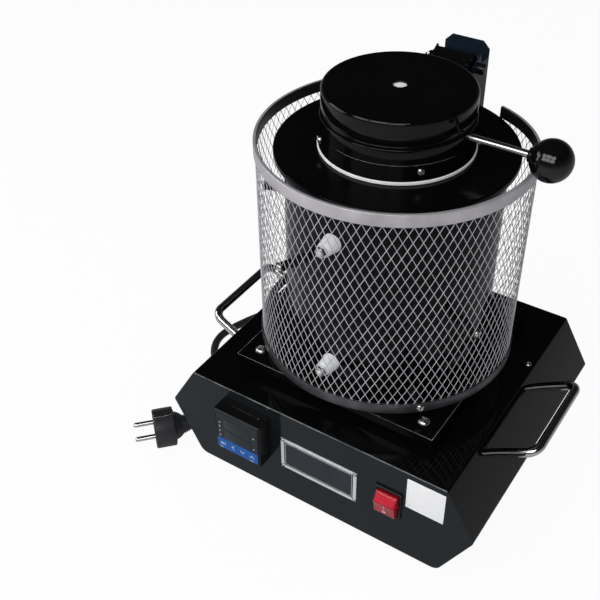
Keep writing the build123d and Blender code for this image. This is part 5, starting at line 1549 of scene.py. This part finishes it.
class FURNACE_OT_drum(Operator):
    """Heater drum, its disc, mouth, terminals and what lies inside"""

    bl_idname = "furnace.drum"
    bl_label = "Drum and heater"

    def execute(self, context):
        size = context.scene.furnace_drum
        r, low, high = DRUM_HIGH.x, DRUM_LOW.z, DRUM_HIGH.z
        inside, lip, floor = r - DRUM_SHEET, r - DRUM_FLANGE, low + DRUM_SHEET
        wall = [(lip, low), (r - 0.0006, low), (r, low + 0.0008), (r, high), (inside, high), (inside, floor)]
        wall.append((lip, floor))
        seam = rounded_block((-0.0025, r - 0.0003, floor), (0.0025, r + 0.0004, high), 0.0003)
        body = joined(turned(wall, sides=144), seam)
        settle("drum_wall", body, "furnace", "gloss_black_enamel", ["drum_shell"], look="dull_enamel")
        self.disc(size)
        self.mouth()
        keep("white_fibre", "insulation_jacket")
        keep("fired_ceramic", "chamber_floor")
        keep("heater_wire", "heating_coil")
        low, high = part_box("ceramic_muffle")
        outer, bore, ease = high.x, MUFFLE_BORE, 0.0012
        line = [(bore + ease, high.z), (outer, high.z), (outer, low.z), (bore, low.z), (bore, high.z - ease)]
        settle("muffle", turned(line, sides=120), "furnace", "fired_ceramic", ["ceramic_muffle"])
        self.terminals(size)
        self.probe()
        return {"FINISHED"}

    def disc(self, size):
        """The spun disc with its rolled rim and eased mouth."""
        rim, top = DISC_HIGH.x, DISC_HIGH.z
        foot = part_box("top_disc")[0].z
        under, inside = top - DISC_SHEET, rim - DISC_SHEET
        corners = [(DISC_BORE, under), (DISC_BORE, top), (rim, top), (rim, foot)]
        corners += [(inside, foot), (inside, under)]
        easing = [0.0003, 0.0004, size.rim_radius, 0.0003, 0.0003, 0.0006]
        disc = turned(softened(corners, easing, 5), sides=144)
        settle("disc", disc, "furnace", "gloss_black_enamel", ["top_disc"], look="dull_enamel")

    def mouth(self):
        """Gasket, collar with its screws and the fibre ring inside it."""
        for name, node, inner, easing, steps, sides, slot in (
            ("gasket", "collar_gasket", MOUTH_RADIUS, [0, 0.0007, 0.0007, 0], 3, 120, "white_fibre"),
            ("collar", "collar_ring", COLLAR_HIGH.x - COLLAR_SHEET, 0.00015, 2, 144, "gloss_black_enamel"),
            ("mouth_ring", "mouth_insulation", MOUTH_RING_RADIUS, 0.0004, 2, 120, "white_fibre"),
        ):
            low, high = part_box(node)
            corners = [(inner, low.z), (high.x, low.z), (high.x, high.z), (inner, high.z)]
            ring = turned(softened(corners, easing, steps), sides=sides)
            settle(name, ring, "furnace", slot, [node])
        rows = []
        for index in range(4):
            seat, out = around(45 + 90 * index, COLLAR_HIGH.x - 0.0001, COLLAR_LOW.z + 0.008)
            rows.append((seat, out, SMALL_SCREW, 0.0064))
        settle("mouth_screws", screws(rows, seed=8), "furnace", "zinc_steel", ["collar_screws"])

    def terminals(self, size):
        """Two tapered ceramic bushes, each with its bolt, washer and nut."""
        angle = size.terminal_angle * 180 / pi
        wall, tip = DRUM_HIGH.x, DRUM_HIGH.x + size.terminal_reach
        foot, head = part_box("terminal_insulators")
        ceramic, metal = [], []
        for z in (foot.z + size.terminal_root, head.z - size.terminal_root):
            _, out = around(angle, 0, 0)
            seat = place_at((0, 0, z), out)
            root, end = size.terminal_root, size.terminal_tip
            line = [(BUSH_BORE, BUSH_FOOT), (root, BUSH_FOOT), (root, wall), (root, wall + 0.0012)]
            line += [(root - 0.0004, wall + 0.002), (end + 0.0002, tip - 0.0024), (end, tip - 0.0012)]
            line += [(end - 0.0008, tip), (BUSH_BORE, tip)]
            ceramic.append(turned(line, seat, sides=48))
            washer = [(0.0026, tip), (0.0054, tip), (0.0054, tip + 0.0006), (0.0026, tip + 0.0006)]
            metal.append(painted(turned(softened(washer, 0.0002, 2), seat, sides=40), "nickel_plate"))
            bolt = [(0, 0.0515), (0.0025, 0.0515), (0.0025, tip + 0.0043), (0.0019, tip + 0.005)]
            bolt.append((0, tip + 0.005))
            metal.append(painted(turned(bolt, seat, sides=32), "nickel_plate"))
            nut = hexagon(0.54)
            on_washer = seat @ Matrix.Translation((0, 0, tip + 0.0006))
            nut.transform(on_washer @ Matrix.Diagonal((0.0047, 0.0047, 0.0034, 1)))
            metal.append(painted(nut, "zinc_steel"))
            block = rounded_block((-0.0035, -0.0035, 0.0497), (0.0035, 0.0035, 0.0533), 0.0003)
            block.transform(seat)
            metal.append(painted(block, "zinc_steel"))
        settle("bushes", joined(*ceramic), "furnace", "white_ceramic", ["terminal_insulators"])
        settle("terminals", joined(*metal), "furnace", "zinc_steel", ["terminal_bolts"])

    def probe(self):
        """The temperature probe with its head on the drum's wall."""
        seat, out = around(PROBE_ANGLE, 0, DRUM_LOW.z + PROBE_HEIGHT)
        wall = DRUM_HIGH.x + 0.0002
        line = [(0, 0.0495), (0.0025, 0.0495), (0.0025, wall), (0.0070, wall), (0.0070, wall + 0.0078)]
        line += [(0.0060, wall + 0.0090), (0.0060, wall + 0.0110), (0.0052, wall + 0.0118), (0, wall + 0.0118)]
        probe = turned(line, place_at(seat, out), sides=48)
        settle("probe", probe, "furnace", "probe_steel", ["temperature_probe"])


# ---------------------------------------------------------------- guard
NET_GAP = 0.0001  # between a band and the net inside it
NET_TUCK = 0.004  # how far the net's edges stand in the bands
STRAND_TILT = -42
STRAND_OVERLAP = 1.02
STRAND_FLARES = ((-0.5, 1.15), (-0.32, 0.9), (0.32, 0.9), (0.5, 1.15))  # (share of the length, of the width)
HOOP_STEPS = 300
# The spacers' angles and heights over the drum's foot, on the net; those on the foot band and at the column
NET_SPACERS = ((-113.4, 0.119), (-22.6, 0.0759), (-165.0, 0.135), (-205.0, 0.060))
BAND_SPACERS = (-46.6, -166.0)
COLUMN_SPACERS = (0.045, 0.170)
SPACER_RADIUS = 0.004
COLUMN_SCREW_X = 0.00925


class FURNACE_OT_guard(Operator):
    """Expanded-steel guard with its two bands, spacer tubes and screws"""

    bl_idname = "furnace.guard"
    bl_label = "Guard"

    def execute(self, context):
        size = context.scene.furnace_guard
        self.net(size)
        low, high = BAND_LOW, BAND_HIGH
        for node, mouth, fold, look in (
            ("guard_bottom_band", low + size.bottom_band, low, "dark_band_steel"),
            ("guard_top_band", high - size.top_band, high, "guard_band_steel"),
        ):
            hoop = self.hoop(size, mouth, fold)
            settle(node + "_hoop", hoop, "furnace", "guard_band_steel", [node], look=look)
        self.spacers(size)
        return {"FINISHED"}

    def net(self, size):
        """The fine net, grown by geometry nodes round the guard's plan."""
        middle = size.radius - size.band_sheet - NET_GAP - size.strand_sheet / 2
        main = -size.left_end * middle
        total = main + size.right_end * (middle - size.shift)
        columns = round(total / (size.diamond_width / 2))
        height = BAND_HIGH - BAND_LOW - 2 * NET_TUCK
        rows = round(height / (size.diamond_height / 2))
        cell_width = total / columns
        cell_height = height / rows
        strand = self.strand(size, hypot(cell_width, cell_height))
        values = {
            "Strand": strand, "Cell Width": cell_width, "Cell Height": cell_height, "Columns": columns,
            "Rows": rows, "Radius": middle, "Shift": size.shift, "Start": size.left_end,
            "Base": BAND_LOW + NET_TUCK, "Finish": finish_of("guard_mesh_steel"),
        }
        seed = bpy.data.meshes.new("guard_net")
        seed.from_pydata([(0, 0, 0)], [], [])
        net = grown(seed, net_tree(), values)
        bpy.data.objects.remove(strand)
        settle("guard_net", net, "furnace", "guard_mesh_steel", ["guard_mesh"])

    def strand(self, size, reach):
        """One strand along X: a tilted bar, wider where it meets its neighbours."""
        tilt = Matrix.Rotation(radians(STRAND_TILT), 4, "X")
        loops = []
        for share, wide in STRAND_FLARES:
            w, t = size.strand_width / 2 * wide, size.strand_sheet / 2
            section = [(-w, -t * 0.5), (-w * 0.6, -t), (w, -t * 0.6), (w, t * 0.5), (w * 0.6, t), (-w, t * 0.6)]
            loops.append([tilt @ Vector((reach * STRAND_OVERLAP * share, y, z)) for y, z in section])
        return holder_of(loft(loops, sharp=30))

    def hoop(self, size, mouth, fold):
        """A strip folded over the net's edge, along the guard's plan, from its open mouth to its fold."""
        way = 1 if fold > mouth else -1
        outer, sheet, lining = size.radius, size.band_sheet, size.band_lining
        slot = outer - sheet - size.band_gap
        section = [
            (outer, mouth), (outer, fold), (slot - lining, fold), (slot - lining, mouth + way * 0.0008),
            (slot, mouth + way * 0.0008), (slot, fold - way * sheet), (outer - sheet, fold - way * sheet),
            (outer - sheet, mouth),
        ]
        section = softened(section, [0.0004, 0.0006, 0.0006, 0.0002, 0.0002, 0, 0, 0.0003], 3)
        loops = []
        for step in range(HOOP_STEPS + 1):
            angle = size.left_end + (size.right_end - size.left_end) * step / HOOP_STEPS
            loops.append([guard_point(radius, angle, size.shift) + UP * height for radius, height in section])
        return loft(loops, sharp=40)

    def spacers(self, size):
        """The tubes between drum, guard and column, and the screws through them."""
        wall = DRUM_HIGH.x
        net_face = size.radius - size.band_sheet - NET_GAP
        inside = net_face - 0.0011
        places = [(angle, DRUM_LOW.z + height, inside, net_face) for angle, height in NET_SPACERS]
        places += [(angle, BAND_LOW + size.bottom_band / 2, inside, size.radius) for angle in BAND_SPACERS]
        places += [(90.0, DRUM_LOW.z + height, COLUMN_BACK, COLUMN_BACK + 0.0015) for height in COLUMN_SPACERS]
        tube = turned(softened([(0.45, 0), (1, 0), (1, 1), (0.45, 1)], 0.02, 2), sides=32)
        tubes, rows = [], []
        for angle, z, inner, outer in places:
            start, out = around(angle, wall - 0.0001, z)
            tubes.append((start, out, (SPACER_RADIUS, SPACER_RADIUS, inner - wall)))
            seat, _ = around(angle, outer - 0.0001, z)
            rows.append((seat, out, GUARD_SCREW, outer - wall + 0.002))
        for side in (-1, 1):
            seat = (side * COLUMN_SCREW_X, (COLUMN_FACE + COLUMN_BACK) / 2, CASE_HIGH.z + 0.0015)
            rows.append((seat, UP, SMALL_SCREW, 0.0057))
        tubes = scattered(tube, tubes, "satin_black_steel")
        settle("spacers", tubes, "furnace", "satin_black_steel", ["spacer_tubes"])
        settle("guard_screws", screws(rows, seed=11), "furnace", "zinc_steel", ["spacer_screws"])
        washer = turned(softened([(0.5, 0), (1, 0), (1, 1), (0.5, 1)], 0.05, 2), sides=32)
        spots = []
        for angle, height in NET_SPACERS:
            seat, out = around(angle, net_face - 0.0004, DRUM_LOW.z + height)
            spots.append((seat, out, (0.0047, 0.0047, 0.0006)))
        washers = scattered(washer, spots, "black_bolt_steel")
        settle("guard_washers", washers, "furnace", "black_bolt_steel")


# ---------------------------------------------------------------- lid and hinge
LID_SHEET = 0.0014
SIGHT_RADIUS = 0.00525  # of the hole in the lid's middle
LID_BAND = 0.0122  # height of the lower band
GROOVE_SLOPE, GROOVE_TOP = 0.0012, 0.0048  # heights over the band of the groove's foot and of its top
ROD_HEIGHT = 0.0074  # over the lid's foot
ROD_ROOT = 0.008  # how far the rod reaches in from the lid's wall
BALL_OUT = 0.0636  # from the lid's wall to the ball's middle
BALL_FLAT = 0.0008  # ground off the ball where the ferrule sits
THREAD_PITCH = 0.001


class FURNACE_OT_hinge(Operator):
    """Folded hinge column with its stop plate, bolt and nut"""

    bl_idname = "furnace.hinge"
    bl_label = "Hinge"

    def execute(self, context):
        column = eased_copy("hinge_column", 0.0003)
        settle("column", column, "furnace", "satin_black_steel", ["hinge_column"], look="hinge_blue")
        seat = place_at((0, HINGE.y, HINGE.z), RIGHT)
        line = [(0, -0.027), (0.0024, -0.027), (0.003, -0.0262), (0.003, 0.020), (0.0046, 0.020)]
        line += [(0.0046, 0.0262), (0.0042, 0.0272), (0.0034, 0.0275), (0, 0.0275)]
        bolt = turned(softened(line, 0.0002, 2), seat, sides=48)
        settle("hinge_pin", bolt, "furnace", "black_bolt_steel", ["hinge_bolt"], look="satin_black_steel")
        nut = hexagon(0.57)
        end = place_at((-0.0245, HINGE.y, HINGE.z), RIGHT)
        nut.transform(end @ Matrix.Diagonal((0.0052, 0.0052, 0.0045, 1)))
        settle("hinge_locknut", nut, "furnace", "zinc_steel", ["hinge_nut"])
        return {"FINISHED"}


class FURNACE_OT_lid(Operator):
    """Spun lid with its fibre filling, hinge arm, threaded rod and ball knob"""

    bl_idname = "furnace.lid"
    bl_label = "Lid"

    def execute(self, context):
        size = context.scene.furnace_lid
        low, high = LID_LOW.z, LID_HIGH.z
        band, sheet, sight = low + LID_BAND, LID_SHEET, SIGHT_RADIUS
        groove, wall = band + GROOVE_SLOPE, band + GROOVE_TOP
        upper = wall + GROOVE_SLOPE
        r, b, g = size.radius, size.band_radius, size.groove_radius
        corners = [
            (b, low), (b, band), (g, groove), (g, wall), (r, upper), (r, high), (sight, high),
            (sight, high - sheet), (r - sheet, high - sheet), (r - sheet, upper + 0.001),
            (g - sheet, wall + 0.001), (g - sheet, groove - 0.001), (b - sheet, band - 0.001), (b - sheet, low),
        ]
        easing = [0.00015, 0.0008, 0.0007, 0.0007, 0.0008, size.edge, 0.0004, 0.0002, 0.002, 0.0003]
        easing += [0, 0, 0, 0.0003]
        shell = turned(softened(corners, easing, 6), sides=160)
        settle("lid_spinning", shell, "lid", "gloss_black_enamel", ["lid_shell"])
        keep("white_fibre", "lid_insulation")
        arm = eased_copy("lid_hinge_arm", 0.0004)
        settle("lid_arm", arm, "lid", "satin_black_steel", ["lid_hinge_arm"], look="dull_enamel")
        self.rod_and_ball(size, low + ROD_HEIGHT)
        return {"FINISHED"}

    def rod_and_ball(self, size, z):
        """The rod with its fine thread, and the ball with its ferrule at the rod's end."""
        start = size.radius - ROD_ROOT
        ball_x = size.radius + BALL_OUT
        end = ball_x - size.ball_radius + 0.006
        r, depth, pitch = size.rod_radius, size.thread_depth, THREAD_PITCH
        line = [(0, start), (r, start)]
        x = size.radius + 0.001
        while x < end - pitch:
            line += [(r, x), (r - depth, x + pitch * 0.5)]
            x += pitch
        line += [(r, x), (r, end), (0, end)]
        seat = place_at((0, 0, z), RIGHT)
        rod = turned(line, seat, sides=28, sharp=60)
        settle("lid_rod", rod, "lid", "bright_rod", ["lid_handle_rod"])
        radius = size.ball_radius
        flat = radius - BALL_FLAT
        line = [(0, ball_x - flat)]
        first = asin((radius**2 - flat**2) ** 0.5 / radius)
        steps = 32
        for index in range(steps + 1):
            angle = first + (pi - first) * index / steps
            line.append((radius * sin(angle), ball_x - radius * cos(angle)))
        line[-1] = (0, ball_x + radius)
        ball = turned(line, seat, sides=64)
        near, far = ball_x - flat - 0.0016, ball_x - flat + 0.0004
        ferrule = [(0.0031, near), (0.0052, near), (0.0058, far), (0.0031, far)]
        ferrule = turned(softened(ferrule, 0.0003, 2), seat, sides=40)
        settle("ball", joined(ball, ferrule), "lid", "knob_black", ["lid_ball_knob"])


# ---------------------------------------------------------------- inside the case
class FURNACE_OT_electrics(Operator):
    """Relay, its heat sink and the terminal block inside the case"""

    bl_idname = "furnace.electrics"
    bl_label = "Electrics"

    def execute(self, context):
        keep("sink_aluminium", "relay_heat_sink")
        keep("black_plastic", "heater_relay")
        keep("block_white", "wire_terminal_block")
        return {"FINISHED"}


STEPS = (
    FURNACE_OT_stage,
    FURNACE_OT_cord,
    FURNACE_OT_case,
    FURNACE_OT_controller,
    FURNACE_OT_switch,
    FURNACE_OT_plates,
    FURNACE_OT_platform,
    FURNACE_OT_drum,
    FURNACE_OT_guard,
    FURNACE_OT_hinge,
    FURNACE_OT_lid,
    FURNACE_OT_electrics,
)


class FURNACE_PT_sidebar(Panel):
    """The furnace's steps and settings"""

    bl_idname = "FURNACE_PT_sidebar"
    bl_label = "Furnace"
    bl_space_type = "VIEW_3D"
    bl_region_type = "UI"
    bl_category = "Furnace"

    def draw(self, context):
        for step in STEPS:
            self.layout.operator(step.bl_idname)
        for name, group in GROUPS.items():
            box = self.layout.box()
            box.label(text=group.__name__.removesuffix("Settings"))
            for key in group.__annotations__:
                box.prop(getattr(context.scene, name), key)


def register():
    for group in GROUPS.values():
        bpy.utils.register_class(group)
    for name, group in GROUPS.items():
        setattr(bpy.types.Scene, name, PointerProperty(type=group))
    for step in STEPS:
        bpy.utils.register_class(step)
    bpy.utils.register_class(FURNACE_PT_sidebar)


def unregister():
    bpy.utils.unregister_class(FURNACE_PT_sidebar)
    for step in reversed(STEPS):
        bpy.utils.unregister_class(step)
    for name, group in GROUPS.items():
        delattr(bpy.types.Scene, name)
        bpy.utils.unregister_class(group)


def main():
    """Makes every piece in order."""
    register()
    for step in STEPS:
        group, name = step.bl_idname.split(".")
        getattr(getattr(bpy.ops, group), name)()
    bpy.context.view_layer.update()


if __name__ == "__main__":
    main()
